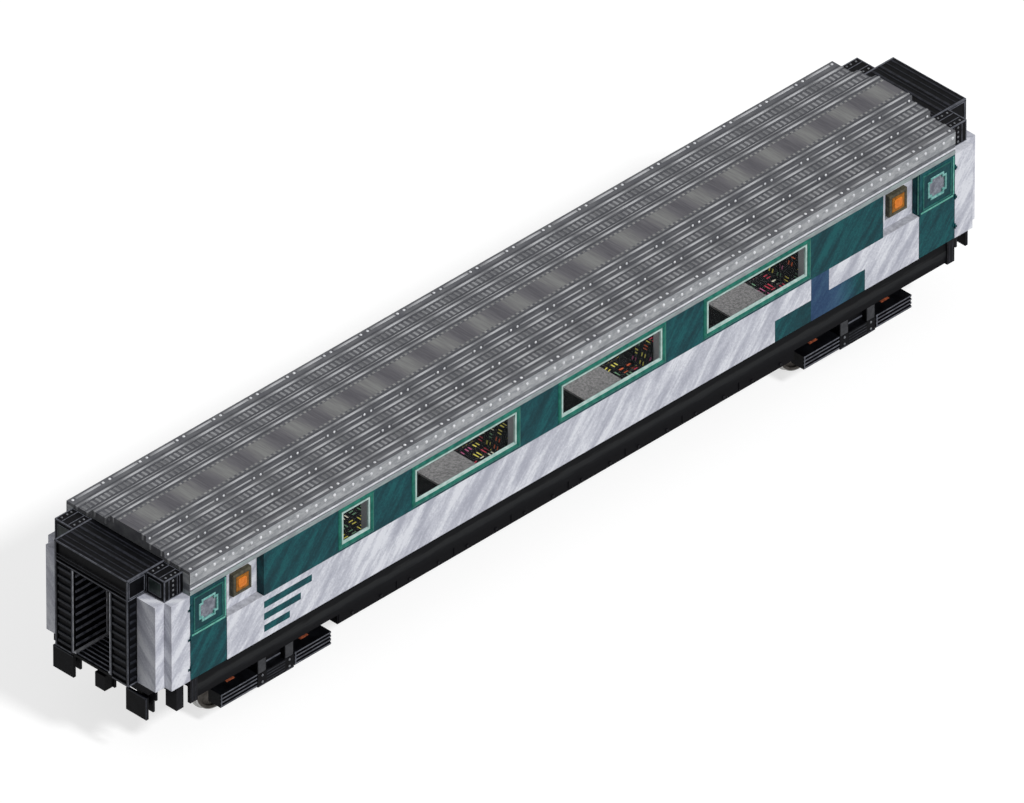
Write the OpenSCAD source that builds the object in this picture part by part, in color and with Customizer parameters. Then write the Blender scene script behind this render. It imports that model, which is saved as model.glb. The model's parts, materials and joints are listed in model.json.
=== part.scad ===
// Passenger coach on two bogies, with hinged entrance doors.
// X runs along the coach, front end at -X. Y runs across, left side at -Y. Z is up.
// The origin is under the middle of the coach, level with the lowest points of the wheel flanges.

/* [Body shell] */
// Length of one bay of the side
bay = 900; // [750:10:1080]
// Half the width over the side skins
body_half = 1520; // [1400:10:1830]
// Thickness of a side wall, skin to lining
wall_t = 220; // [200:5:264]
// Depth of the lamp recesses and of the corner panels
recess_d = 170; // [140:5:180]
// Height of the side panels
side_h = 1800; // [1600:10:2160]
// Height of the deck over the rail
deck_h = 1580; // [1560:5:1900]
// Height of the cornice between side panel and roof
cornice_h = 440; // [360:5:528]
// Height of the roof's outer edge
roof_edge_h = 66; // [55:1:80]
// Rise of each of the two upper roof tiers
tier_rise = 112.5; // [90:0.5:135]
// Half width of the middle roof tier
mid_tier_half = 900; // [750:10:1080]
// Half width of the top roof tier
top_tier_half = 450; // [375:5:540]
// Height of the floor over the deck
floor_h = 225; // [185:5:270]

/* [Ends] */
// Distance that the gangways reach past the doors
gangway_l = 900; // [750:10:1080]
// Half width over a gangway
gangway_half = 900; // [850:10:1000]
// Height that the gangways stand over the cornices
gangway_rise = 10; // [5:1:30]
// Half width of the gangway passage
passage_half = 450; // [375:5:540]
// Height of the gangway passage
passage_h = 1800; // [1500:10:2000]
// Distance that the end walls reach past the doors
end_l = 675; // [562:1:800]
// Thickness of the end walls
end_t = 225; // [188:1:270]
// Height of a shoulder box
shoulder_h = 440; // [370:5:500]

/* [Doors and windows] */
// Thickness of a door leaf
door_t = 60; // [50:1:72]
// Width and height of the pane in a door
door_pane = 400; // [334:2:480]
// Step at each corner of that pane
pane_step = 66; // [55:1:79]
// Wall left beside each side window
window_margin = 104; // [87:1:125]
// Wall left below each side window
window_sill = 126; // [105:1:151]
// Wall left above each side window
window_head = 90; // [75:1:108]
// Depth of the window frames, and of the wall's skin around them
frame_d = 40; // [33:1:48]
// Width of a window frame's face
frame_w = 40; // [33:1:48]
// Thickness of the panes
glass_t = 12; // [10:1:14]

/* [Underframe] */
// Depth of the skirts below the deck
skirt_h = 450; // [375:5:540]
// Thickness of a skirt
skirt_t = 40; // [33:1:48]
// Depth of the underfloor cases below the deck
case_depth = 829; // [691:1:995]
// Buffer height over the rail
buffer_h = 1134; // [945:1:1200]
// Distance between a buffer's centre and the centreline
buffer_y = 900; // [820:5:950]

/* [Bogies] */
// Distance between the two axles of a bogie
wheelbase = 1800; // [1600:10:2160]
// Radius of the wheel tread
wheel_r = 533; // [500:1:560]
// Height of the flange over the tread
flange_h = 30; // [25:1:36]
// Distance between the backs of the two wheels
back_to_back = 1360; // [1133:1:1632]
// Width of a wheel's rim
rim_w = 135; // [113:1:162]
// Half width over a bogie's side boxes
bogie_half = 1350; // [1300:10:1400]
// Length of one axle box
axle_box_l = 900; // [750:10:1080]
// Radius of the axle journals
journal_r = 50; // [42:1:52]

/* [Seats and tables] */
// Height of the seats over the floor
seat_h = 430; // [358:1:480]
// Height of the seat backs over the floor
back_h = 1050; // [875:5:1200]
// Length of a seat, front to back
seat_l = 620; // [517:1:744]
// Height of the tables over the floor
table_h = 675; // [562:1:810]
// Thickness of the table tops
table_t = 40; // [33:1:48]
// Half width of the aisle
aisle_half = 450; // [375:5:540]

/* [Hidden] */
$fn = 96;

// The side is a row of bays, counted from the front door
bays = 21;
lamp_bay = 1;
// First bay of a window, and the bays that it spans
windows = [
    [4, 1],
    [6, 3],
    [10, 3],
    [14, 3]];
table_bays = [7, 11, 15];
// Bay of a seat, and 1 where its back is at the front, -1 where it is at the rear
seats = concat([[4, 1]], [for (t = table_bays) [t - 1, 1]], [for (t = table_bays) [t + 1, -1]]);
partition_bays = [3, 18];
pivot_bay = 2.5;

function bay_x(b) = (b - bays / 2) * bay;

// Heights
rail_z = flange_h;
axle_z = rail_z + wheel_r;
deck_z = rail_z + deck_h;
floor_z = deck_z + floor_h;
mid_z = deck_z + side_h / 2;
side_top = deck_z + side_h;
cornice_top = side_top + cornice_h;
gangway_top = cornice_top + gangway_rise;
eaves_z = cornice_top + roof_edge_h;
window_z = [mid_z + window_sill, side_top - window_head];
table_z = floor_z + table_h;
niche_z = table_z - table_t;

// Widths and lengths
core_half = body_half - recess_d;
inner_half = body_half - wall_t;
skin_half = body_half - frame_d;
end_x = bay_x(0);
pivot_x = bay_x(pivot_bay);

// Clearances
seat_gap = 0.3;
swing_gap = 6;
free_gap = 10;
stop_gap = 8;
glass_inset = 10;

// Door hinges
knuckle_r = 14;
knuckle_l = 50;
hinge_pin_r = 6;
hinge_leaf_w = 55;
hinge_leaf_t = 6;
hinge_heights = [0.15, 0.5, 0.85];
hinge_x = swing_gap / 2;
hinge_y = knuckle_r;

// Underframe
plate_t = 30;
plate_half = body_half - 70;
sill_half = 150;
sill_d = 280;
cross_w = 100;
cross_d = 120;
post_w = 180;
post_d = 486;
bracket_l = 171;
bracket_w = 270;
bracket_d = 648;
bolster_l = 250;
bolster_w = 1100;

// Bogie frame, measured from the axle and from the wheels
beam_w = 114;
beam_h = 230;
beam_half = bogie_half - 306;
beam_z = axle_z + 137;
bogie_half_l = wheelbase / 2 + axle_box_l / 2;
transom_x = [200, 320];
bolster_z = beam_z + 200;
bolster_h = 110;
plate_r = 180;
pivot_plate_h = 50;
pivot_pin_r = 50;
pivot_pin_h = 90;
pivot_z = bolster_z + bolster_h + pivot_plate_h;
box_z = [axle_z - 77, axle_z + 197];
side_box_z = [axle_z - 105, axle_z + 165];
anchor_h = 288;

module slab(x, y, z) {
    translate([x[0], y[0], z[0]])
        cube([x[1] - x[0], y[1] - y[0], z[1] - z[0]]);
}

module both_sides() {
    children();
    mirror([0, 1, 0]) children();
}

module both_ends() {
    children();
    mirror([1, 0, 0]) children();
}

module four_corners() {
    both_ends() both_sides() children();
}

module rod_y(r, y0, y1) {
    translate([0, y1, 0]) rotate([90, 0, 0]) cylinder(r = r, h = y1 - y0);
}

// ---- underframe ----

module underframe() {
    crosses = 8;
    first_x = pivot_x + bogie_half_l + cross_w;
    pitch = (-2 * first_x - cross_w) / (crosses - 1);
    span = -end_x + end_l - end_t;
    color("dimgray") {
        slab([-span, span], [-plate_half, plate_half], [deck_z - plate_t, deck_z]);
        slab([-span, span], [-sill_half, sill_half], [deck_z - plate_t - sill_d, deck_z - plate_t]);
        for (i = [0:crosses - 1]) cross_member(first_x + i * pitch);
        both_ends() cross_member(end_x);
    }
}

module cross_member(x) {
    slab([x, x + cross_w], [-plate_half, plate_half],
         [deck_z - plate_t - cross_d, deck_z - plate_t]);
}

// Beams that carry the coach on its bogies, each with the upper half of the pivot
module bolsters() {
    seat = 120;
    color("dimgray") both_ends() translate([pivot_x, 0, 0]) difference() {
        union() {
            slab([-bolster_l, bolster_l], [-bolster_w, bolster_w],
                 [pivot_z + seat, deck_z - plate_t - sill_d]);
            both_sides() slab([-bolster_l, bolster_l], [sill_half, bolster_w],
                              [pivot_z + seat, deck_z - plate_t]);
            translate([0, 0, pivot_z + seat_gap])
                cylinder(r = plate_r, h = seat);
        }
        translate([0, 0, pivot_z - 1])
            cylinder(r = pivot_pin_r + seat_gap, h = pivot_pin_h + 11);
    }
}

module headstocks() {
    front = end_x - end_l;
    back = front + end_t;
    beam_half = core_half - 180;
    shelf_z = deck_z - 360;
    color("dimgray") both_ends() {
        // Beam under the end walls, and the plate that drops to the buffers and the coupler
        slab([front, back], [-beam_half, beam_half], [deck_z - 144, deck_z]);
        slab([back - 45, back], [-beam_half, beam_half], [shelf_z, deck_z - 144]);
        slab([back - 45, back], [-150, 150], [rail_z + buffer_h - 150, shelf_z]);
        both_sides() slab([back - 45, back], [buffer_y - 200, buffer_y + 200],
                          [rail_z + buffer_h - 190, shelf_z]);
    }
    color("dimgray") four_corners() {
        // Post that ends the skirt, and the bracket in front of it
        slab([end_x, end_x + post_w], [plate_half, body_half], [deck_z - post_d, deck_z]);
        slab([end_x - bracket_l, end_x], [core_half - bracket_w, core_half],
             [deck_z - bracket_d, deck_z - plate_t]);
    }
}

module skirts() {
    color("black") both_sides()
        slab([end_x + post_w, -end_x - post_w], [plate_half, plate_half + skirt_t],
             [deck_z - skirt_h, deck_z]);
}

module underfloor_cases() {
    inner_x = pivot_x + bogie_half_l + 2 * cross_w;
    color("black") both_sides()
        slab([inner_x, -inner_x], [plate_half - 745, plate_half - 145],
             [deck_z - case_depth, deck_z - plate_t - cross_d]);
}

module buffers() {
    face_x = end_x - 711;
    stock_x = end_x - end_l + end_t - 45;
    color("black") four_corners() {
        slab([face_x, face_x + 60], [buffer_y - 250, buffer_y + 250],
             [rail_z + buffer_h - 230, rail_z + buffer_h + 230]);
        translate([face_x + 60, buffer_y, rail_z + buffer_h])
            rotate([0, 90, 0]) cylinder(r = 110, h = stock_x - face_x - 60);
    }
}

module couplers() {
    stock_x = end_x - end_l + end_t - 45;
    color("darkslategray") both_ends() difference() {
        slab([stock_x - 210, stock_x], [-120, 120],
             [rail_z + buffer_h - 130, rail_z + buffer_h + 176]);
        translate([stock_x - 110, 0, rail_z + buffer_h - 131])
            cylinder(r = 30, h = 308);
    }
}

// ---- body shell ----

module floor_panel() {
    color("saddlebrown")
        slab([end_x, -end_x], [-inner_half, inner_half], [deck_z, floor_z]);
}

module window_opening(w, inset) {
    slab([bay_x(w[0]) + window_margin + inset, bay_x(w[0] + w[1]) - window_margin - inset],
         [inner_half - 1, body_half + 1],
         [window_z[0] + inset, window_z[1] - inset]);
}

// Space inside a window, down to the underside of the tables, into which their tops reach
module window_niche(w) {
    slab([bay_x(w[0]) + window_margin, bay_x(w[0] + w[1]) - window_margin],
         [inner_half - 1, skin_half], [niche_z, window_z[1]]);
}

// The right side, at +Y
module side_wall() {
    difference() {
        slab([bay_x(1), bay_x(bays - 1)], [inner_half, body_half], [deck_z, side_top]);
        for (w = windows) {
            window_opening(w, 0);
            window_niche(w);
        }
        both_ends() slab([bay_x(lamp_bay) - 1, bay_x(lamp_bay + 1)],
                         [core_half, body_half + 1], [mid_z, side_top + 1]);
    }
}

module window_frames() {
    color("aquamarine") both_sides() for (w = windows) difference() {
        intersection() {
            window_opening(w, 0);
            slab([end_x, -end_x], [skin_half, body_half], [deck_z, side_top]);
        }
        window_opening(w, frame_w);
    }
}

module window_glass() {
    color("lightgray") both_sides() for (w = windows) intersection() {
        window_opening(w, frame_w);
        slab([end_x, -end_x], [skin_half + glass_inset, skin_half + glass_inset + glass_t],
             [deck_z, side_top]);
    }
}

module end_walls() {
    front = end_x - end_l;
    back = front + end_t;
    color("whitesmoke") four_corners() {
        slab([front, back], [gangway_half, core_half], [deck_z, side_top]);
        slab([back, back + 150], [core_half - 180, core_half], [deck_z, side_top]);
        slab([back, end_x], [core_half, body_half], [deck_z, side_top]);
        hinge_halves(false);
    }
}

module door_frames() {
    jamb = 60;
    color("gray") four_corners() difference() {
        slab([end_x, end_x + bay], [inner_half, body_half - door_t - stop_gap],
             [deck_z, side_top]);
        slab([end_x + jamb, end_x + bay - jamb], [inner_half - 1, body_half + 1],
             [floor_z, side_top - jamb]);
    }
}

module cornices() {
    color("silver") both_sides()
        slab([end_x, -end_x], [inner_half, body_half], [side_top, cornice_top]);
}

module roof() {
    color("gray") translate([end_x, 0, 0]) rotate([90, 0, 90])
        linear_extrude(-2 * end_x) polygon([
            [-body_half, cornice_top],
            [body_half, cornice_top],
            [body_half, eaves_z],
            [mid_tier_half, eaves_z],
            [mid_tier_half, eaves_z + tier_rise],
            [top_tier_half, eaves_z + tier_rise],
            [top_tier_half, eaves_z + 2 * tier_rise],
            [-top_tier_half, eaves_z + 2 * tier_rise],
            [-top_tier_half, eaves_z + tier_rise],
            [-mid_tier_half, eaves_z + tier_rise],
            [-mid_tier_half, eaves_z],
            [-body_half, eaves_z]]);
}

// The front gangway: a deep portal with a low threshold
module gangway() {
    threshold_h = 50;
    louvre_d = 30;
    rim = 50;
    front = end_x - gangway_l;
    color("black") difference() {
        slab([front, end_x], [-gangway_half, gangway_half], [deck_z, gangway_top]);
        slab([front - 1, end_x + 1], [-passage_half, passage_half],
             [deck_z + threshold_h, deck_z + passage_h]);
        both_sides() slab([front - 1, front + louvre_d],
                          [passage_half + rim, gangway_half - rim],
                          [deck_z + rim, deck_z + passage_h]);
        slab([front - 1, front + louvre_d], [-gangway_half + rim, gangway_half - rim],
             [deck_z + passage_h + rim, gangway_top - rim]);
    }
}

module shoulder_boxes() {
    color("black") four_corners()
        slab([end_x - end_l + end_t, end_x], [gangway_half, core_half],
             [side_top, side_top + shoulder_h]);
}

module shoulder_lights() {
    edge = 70;
    face_x = end_x - end_l + end_t;
    color("darkolivegreen") four_corners()
        slab([face_x - 8, face_x], [gangway_half + edge, core_half - edge],
             [side_top + edge, side_top + shoulder_h - edge]);
}

// ---- side lamps ----

lamp_w = 450;
lamp_proud = 100;
lens_w = 300;
lamp_z = mid_z + 270;

module lamp_block(w, y0, y1) {
    translate([bay_x(lamp_bay + 0.5), 0, lamp_z + lamp_w / 2])
        slab([-w / 2, w / 2], [y0, y1], [-w / 2, w / 2]);
}

module side_lamps() {
    color("dimgray") four_corners()
        lamp_block(lamp_w, core_half, core_half + lamp_proud - 10);
}

module lamp_lenses() {
    color("darkorange") four_corners()
        lamp_block(lens_w, core_half + lamp_proud - 10, core_half + lamp_proud);
}

// ---- doors ----

// Hinge pieces of the front right door: the body's half with its pins, or the door's half
module hinge_halves(on_door) {
    for (h = hinge_heights) translate([end_x + hinge_x, body_half + hinge_y, deck_z + h * side_h])
        if (on_door) difference() {
            union() {
                cylinder(r = knuckle_r, h = knuckle_l);
                slab([hinge_x, hinge_leaf_w], [-hinge_y, hinge_leaf_t - hinge_y],
                     [0, knuckle_l]);
            }
            translate([0, 0, -1])
                cylinder(r = hinge_pin_r + seat_gap, h = knuckle_l + 2);
        }
        else union() {
            translate([0, 0, -knuckle_l]) {
                cylinder(r = knuckle_r, h = knuckle_l - seat_gap);
                cylinder(r = hinge_pin_r, h = 2 * knuckle_l - 5);
                slab([-hinge_leaf_w, -hinge_x], [-hinge_y, hinge_leaf_t - hinge_y],
                     [0, knuckle_l - seat_gap]);
            }
        }
}

module pane_outline(y0, y1) {
    cross = door_pane / 2 - pane_step;
    translate([end_x + bay / 2, 0, deck_z + 0.75 * side_h]) {
        slab([-door_pane / 2, door_pane / 2], [y0, y1], [-cross, cross]);
        slab([-cross, cross], [y0, y1], [-door_pane / 2, door_pane / 2]);
    }
}

module door() {
    color("teal") {
        difference() {
            slab([end_x + swing_gap, end_x + bay - free_gap], [body_half - door_t, body_half],
                 [deck_z + swing_gap, side_top - swing_gap]);
            pane_outline(body_half - door_t - 1, body_half + 1);
        }
        hinge_halves(true);
    }
}

module door_glass() {
    mid = body_half - door_t / 2;
    color("lightgray") pane_outline(mid - glass_t / 2, mid + glass_t / 2);
}

// ---- inside ----

module partitions() {
    lintel = 115;
    color("lightgray") for (b = partition_bays) difference() {
        slab([bay_x(b) - 25, bay_x(b) + 25], [-inner_half, inner_half], [floor_z, cornice_top]);
        slab([bay_x(b) - 26, bay_x(b) + 26], [50 - aisle_half, aisle_half - 50],
             [floor_z - 1, cornice_top - lintel]);
    }
}

// One block for each seat, from the end of its bay that holds the back
module seat_blocks(l, z) {
    inset = 40;
    color("black") both_sides() for (s = seats)
        translate([bay_x(s[0] + 0.5) - s[1] * (bay / 2 - inset), 0, 0])
            slab(s[1] > 0 ? [0, l] : [-l, 0], [aisle_half + 15, inner_half - 5], z);
}

// Tops that rest in the windows' niches, on boxed legs
module tables() {
    inset = 20;
    color("gray") both_sides() for (b = table_bays) {
        slab([bay_x(b), bay_x(b + 1)], [aisle_half, skin_half - stop_gap], [niche_z, table_z]);
        slab([bay_x(b) + inset, bay_x(b + 1) - inset], [aisle_half + inset, inner_half - inset],
             [floor_z, niche_z]);
    }
}

// ---- bogies ----

module front_frame() {
    color("dimgray") translate([pivot_x, 0, 0]) {
        both_sides() slab([-bogie_half_l, bogie_half_l], [beam_half - beam_w, beam_half],
                          [beam_z, beam_z + beam_h]);
        both_ends() slab(transom_x, [-beam_half + beam_w, beam_half - beam_w],
                         [beam_z + 40, bolster_z]);
        slab([-transom_x[1], transom_x[1]], [-beam_half + beam_w, beam_half - beam_w],
             [bolster_z, bolster_z + bolster_h]);
        translate([0, 0, bolster_z + bolster_h]) {
            cylinder(r = plate_r, h = pivot_plate_h);
            cylinder(r = pivot_pin_r, h = pivot_plate_h + pivot_pin_h);
        }
    }
}

// Ribbed box that holds one end of an axle
module axle_box(x) {
    rib_h = 42;
    rib_d = 20;
    pitch = (box_z[1] - box_z[0] - rib_h) / 3;
    difference() {
        union() {
            slab([x - axle_box_l / 2, x + axle_box_l / 2], [beam_half, bogie_half - rib_d], box_z);
            for (i = [0:3]) slab([x - axle_box_l / 2, x + axle_box_l / 2],
                                 [bogie_half - rib_d, bogie_half],
                                 [box_z[0] + i * pitch, box_z[0] + i * pitch + rib_h]);
        }
        translate([x, 0, axle_z])
            rod_y(journal_r + seat_gap, beam_half - 1, beam_half + 175);
    }
}

module front_boxes() {
    side_half_l = wheelbase / 2 - axle_box_l / 2;
    anchor_l = side_half_l / 2;
    color("black") translate([pivot_x, 0, 0]) both_sides() {
        for (x = [-wheelbase / 2, wheelbase / 2]) axle_box(x);
        slab([-side_half_l + 10, side_half_l - 10], [beam_half, bogie_half], side_box_z);
        both_ends() slab([side_half_l - anchor_l, side_half_l - 10], [beam_half, bogie_half - 10],
                         [side_box_z[1], side_box_z[1] + anchor_h]);
        slab([anchor_l - side_half_l, side_half_l - anchor_l], [beam_half, bogie_half - 110],
             [side_box_z[1], side_box_z[1] + anchor_h - 60]);
    }
}

// Wheels and axle turn about Y at the place x
module at_axle(x) {
    translate([x, 0, axle_z]) children();
}

hub_r = 90;

module wheels(x) {
    back = back_to_back / 2;
    rim_r = wheel_r - 65;
    web = back + rim_w / 2;
    color("silver") at_axle(x) both_sides() rotate([90, 0, 0]) rotate_extrude() polygon([
        [hub_r + 0.1, back - 20],
        [hub_r + 60, back - 20],
        [hub_r + 60, web - 15],
        [rim_r, web - 15],
        [rim_r, back],
        [wheel_r + flange_h - 8, back],
        [wheel_r + flange_h, back + 8],
        [wheel_r + flange_h, back + 22],
        [wheel_r, back + 34],
        [wheel_r, back + rim_w],
        [rim_r, back + rim_w],
        [rim_r, web + 15],
        [hub_r + 60, web + 15],
        [hub_r + 60, back + rim_w + 15],
        [hub_r + 0.1, back + rim_w + 15]]);
}

module axle(x) {
    hub_end = back_to_back / 2 + rim_w + 15;
    disc_y = 0.25 * back_to_back;
    color("dimgray") at_axle(x) {
        rod_y(hub_r, -hub_end, hub_end);
        rod_y(journal_r, -beam_half - 170, beam_half + 170);
        both_sides() rod_y(0.6 * wheel_r, disc_y - 45, disc_y + 45);
    }
}

outer_x = pivot_x - wheelbase / 2;
inner_x = pivot_x + wheelbase / 2;

underframe();
bolsters();
headstocks();
skirts();
underfloor_cases();
floor_panel();  // floor
color("teal") mirror([0, 1, 0]) side_wall();  // left_side_wall
color("teal") side_wall();  // right_side_wall
end_walls();
door_frames();
roof();
cornices();
gangway();  // front_gangway
mirror([1, 0, 0]) gangway();  // rear_gangway
shoulder_boxes();
shoulder_lights();
side_lamps();
lamp_lenses();
window_frames();
window_glass();
partitions();
seat_blocks(seat_l, [floor_z, floor_z + seat_h]);  // seat_bases
seat_blocks(130, [floor_z + seat_h, floor_z + back_h]);  // seat_backs
tables();
buffers();
couplers();
mirror([0, 1, 0]) door();  // front_left_door
door();  // front_right_door
mirror([1, 0, 0]) mirror([0, 1, 0]) door();  // rear_left_door
mirror([1, 0, 0]) door();  // rear_right_door
mirror([0, 1, 0]) door_glass();  // front_left_door_glass
door_glass();  // front_right_door_glass
mirror([1, 0, 0]) mirror([0, 1, 0]) door_glass();  // rear_left_door_glass
mirror([1, 0, 0]) door_glass();  // rear_right_door_glass
front_frame();  // front_bogie_frame
front_boxes();  // front_bogie_boxes
mirror([1, 0, 0]) front_frame();  // rear_bogie_frame
mirror([1, 0, 0]) front_boxes();  // rear_bogie_boxes
wheels(outer_x);  // front_outer_wheels
axle(outer_x);  // front_outer_axle
wheels(inner_x);  // front_inner_wheels
axle(inner_x);  // front_inner_axle
wheels(-inner_x);  // rear_inner_wheels
axle(-inner_x);  // rear_inner_axle
wheels(-outer_x);  // rear_outer_wheels
axle(-outer_x);  // rear_outer_axle
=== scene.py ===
"""Finish of a railway passenger coach: paint, rivets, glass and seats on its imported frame."""

import json
import logging
import math
from dataclasses import dataclass
from enum import Enum
from typing import Sequence

import bpy
import numpy as np
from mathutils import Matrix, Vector

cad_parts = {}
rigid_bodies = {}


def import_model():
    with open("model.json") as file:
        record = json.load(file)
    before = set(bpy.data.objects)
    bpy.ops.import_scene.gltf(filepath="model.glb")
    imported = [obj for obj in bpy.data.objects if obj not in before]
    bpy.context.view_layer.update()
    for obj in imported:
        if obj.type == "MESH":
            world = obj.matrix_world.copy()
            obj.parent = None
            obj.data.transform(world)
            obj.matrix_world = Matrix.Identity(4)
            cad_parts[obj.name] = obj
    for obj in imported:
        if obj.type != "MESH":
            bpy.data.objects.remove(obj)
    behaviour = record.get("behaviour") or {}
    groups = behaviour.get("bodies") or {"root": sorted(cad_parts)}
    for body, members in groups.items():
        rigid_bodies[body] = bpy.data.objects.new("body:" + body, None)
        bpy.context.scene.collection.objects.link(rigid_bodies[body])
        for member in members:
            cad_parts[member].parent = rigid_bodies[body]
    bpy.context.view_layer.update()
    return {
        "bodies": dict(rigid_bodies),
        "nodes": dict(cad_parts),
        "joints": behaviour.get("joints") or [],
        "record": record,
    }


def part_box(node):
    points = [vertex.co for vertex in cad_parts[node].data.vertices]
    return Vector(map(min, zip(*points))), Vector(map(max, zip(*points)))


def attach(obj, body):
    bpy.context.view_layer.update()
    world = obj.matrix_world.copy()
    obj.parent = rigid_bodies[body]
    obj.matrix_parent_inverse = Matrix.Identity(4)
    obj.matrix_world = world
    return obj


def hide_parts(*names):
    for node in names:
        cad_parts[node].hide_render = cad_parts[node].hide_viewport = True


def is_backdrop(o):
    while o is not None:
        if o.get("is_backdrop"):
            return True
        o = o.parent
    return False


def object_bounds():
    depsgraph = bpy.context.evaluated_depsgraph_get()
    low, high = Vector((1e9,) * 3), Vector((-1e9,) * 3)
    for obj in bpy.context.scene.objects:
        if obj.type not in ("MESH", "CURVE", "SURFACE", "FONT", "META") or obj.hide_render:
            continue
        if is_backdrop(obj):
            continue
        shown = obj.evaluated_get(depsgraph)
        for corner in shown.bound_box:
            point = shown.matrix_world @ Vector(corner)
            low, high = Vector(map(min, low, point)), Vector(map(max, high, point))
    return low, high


log = logging.getLogger("coach")

Socket = bpy.types.NodeSocket

BODY = "coach_body"
BAYS = 21


class Axis(Enum):
    """The three axes of the coach."""

    ALONG = 0
    ACROSS = 1
    UP = 2


class Corner(Enum):
    """The four corners of the coach, as the signs of X and Y, which also name the doors."""

    FRONT_LEFT = (-1, -1)
    FRONT_RIGHT = (-1, 1)
    REAR_LEFT = (1, -1)
    REAR_RIGHT = (1, 1)

    @property
    def door(self) -> str:
        """Name of the door at this corner."""
        return self.name.lower() + "_door"


def srgb(red: float, green: float, blue: float) -> tuple[float, float, float, float]:
    """A colour from its 0 to 255 screen values, in linear light.

    Args:
        red, green, blue: the screen values.

    Returns:
        Linear red, green and blue, and an alpha of 1.
    """
    c = np.array([red, green, blue]) / 255
    linear = np.where(c <= 0.04045, c / 12.92, ((c + 0.055) / 1.055) ** 2.4)
    return (*linear.tolist(), 1.0)


# ---- the coach's plan ----


@dataclass(frozen=True)
class Plan:
    """Places and sizes of the coach, in metres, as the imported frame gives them."""

    bay: float
    end: float
    skin: float
    core: float
    lining: float
    deck: float
    mid: float
    side_top: float
    cornice_top: float
    eaves: float
    roof_top: float
    floor: float
    rail: float
    axle: float

    @classmethod
    def from_frame(cls) -> "Plan":
        """Reads the plan from the boxes of the frame's nodes."""
        roof, wall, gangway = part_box("roof"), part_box("right_side_wall"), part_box("front_gangway")
        floor, panes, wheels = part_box("floor"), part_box("window_glass"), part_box("front_outer_wheels")
        end = roof[1].x
        bay = 2 * end / BAYS
        return cls(
            bay=bay, end=end, skin=wall[1].y, core=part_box("shoulder_boxes")[1].y,
            lining=wall[0].y, deck=gangway[0].z, mid=(wall[0].z + wall[1].z) / 2,
            side_top=wall[1].z, cornice_top=roof[0].z,
            eaves=roof[1].z - 2 * TIER_RISE * bay, roof_top=roof[1].z, floor=floor[1].z,
            rail=wheels[0].z + FLANGE, axle=(wheels[0].z + wheels[1].z) / 2)

    def x(self, bays: float) -> float:
        """Place along the coach of a number of bays from the front door's outer edge."""
        return (bays - BAYS / 2) * self.bay

    def z(self, bays: float) -> float:
        """Height of a number of bays over the deck."""
        return self.deck + bays * self.bay


TIER_RISE = 0.125
FLANGE = 0.03


# ---- shapes as whole arrays ----


@dataclass
class Shape:
    """A mesh as arrays: points, and faces grouped by their number of corners."""

    points: np.ndarray
    faces: list[np.ndarray]

    def __add__(self, other: "Shape") -> "Shape":
        """Both shapes in one mesh."""
        shifted = [f + len(self.points) for f in other.faces]
        return Shape(np.vstack([self.points, other.points]), self.faces + shifted)

    def mirrored(self, axis: Axis) -> "Shape":
        """The mirror image across the plane that the axis crosses, faces turned outwards again."""
        points = self.points.copy()
        points[:, axis.value] *= -1
        return Shape(points, [f[:, ::-1] for f in self.faces])

    def both(self, *axes: Axis) -> "Shape":
        """The shape with its mirror images across each axis in turn."""
        shape = self
        for axis in axes:
            shape = shape + shape.mirrored(axis)
        return shape

    def at_corner(self, corner: Corner) -> "Shape":
        """A shape made for the rear right corner, moved to another corner by mirroring."""
        shape = self
        for sign, axis in zip(corner.value, (Axis.ALONG, Axis.ACROSS)):
            shape = shape.mirrored(axis) if sign < 0 else shape
        return shape

    def outwards(self) -> "Shape":
        """The shape with its faces turned so that a closed surface has a positive volume."""
        volume = 0.0
        for f in self.faces:
            p = self.points[f]
            for k in range(1, f.shape[1] - 1):
                volume += float(np.einsum("ij,ij->", p[:, 0], np.cross(p[:, k], p[:, k + 1])))
        return self if volume > 0 else Shape(self.points, [f[:, ::-1] for f in self.faces])

    def moved(self, x: float, y: float, z: float) -> "Shape":
        """The shape shifted along each axis."""
        return Shape(self.points + [x, y, z], self.faces)

    def fitted(self, low: Sequence[float], high: Sequence[float]) -> "Shape":
        """The shape stretched to fill a box."""
        low, high = np.asarray(low, float), np.asarray(high, float)
        a, b = self.points.min(0), self.points.max(0)
        return Shape(low + (self.points - a) / (b - a) * (high - low), self.faces)

    def mesh(self, name: str) -> bpy.types.Mesh:
        """The shape as a new Blender mesh."""
        mesh = bpy.data.meshes.new(name)
        faces = [row for group in self.faces for row in group.tolist()]
        mesh.from_pydata(self.points.tolist(), [], faces)
        mesh.validate()
        mesh.update()
        return mesh


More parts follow.
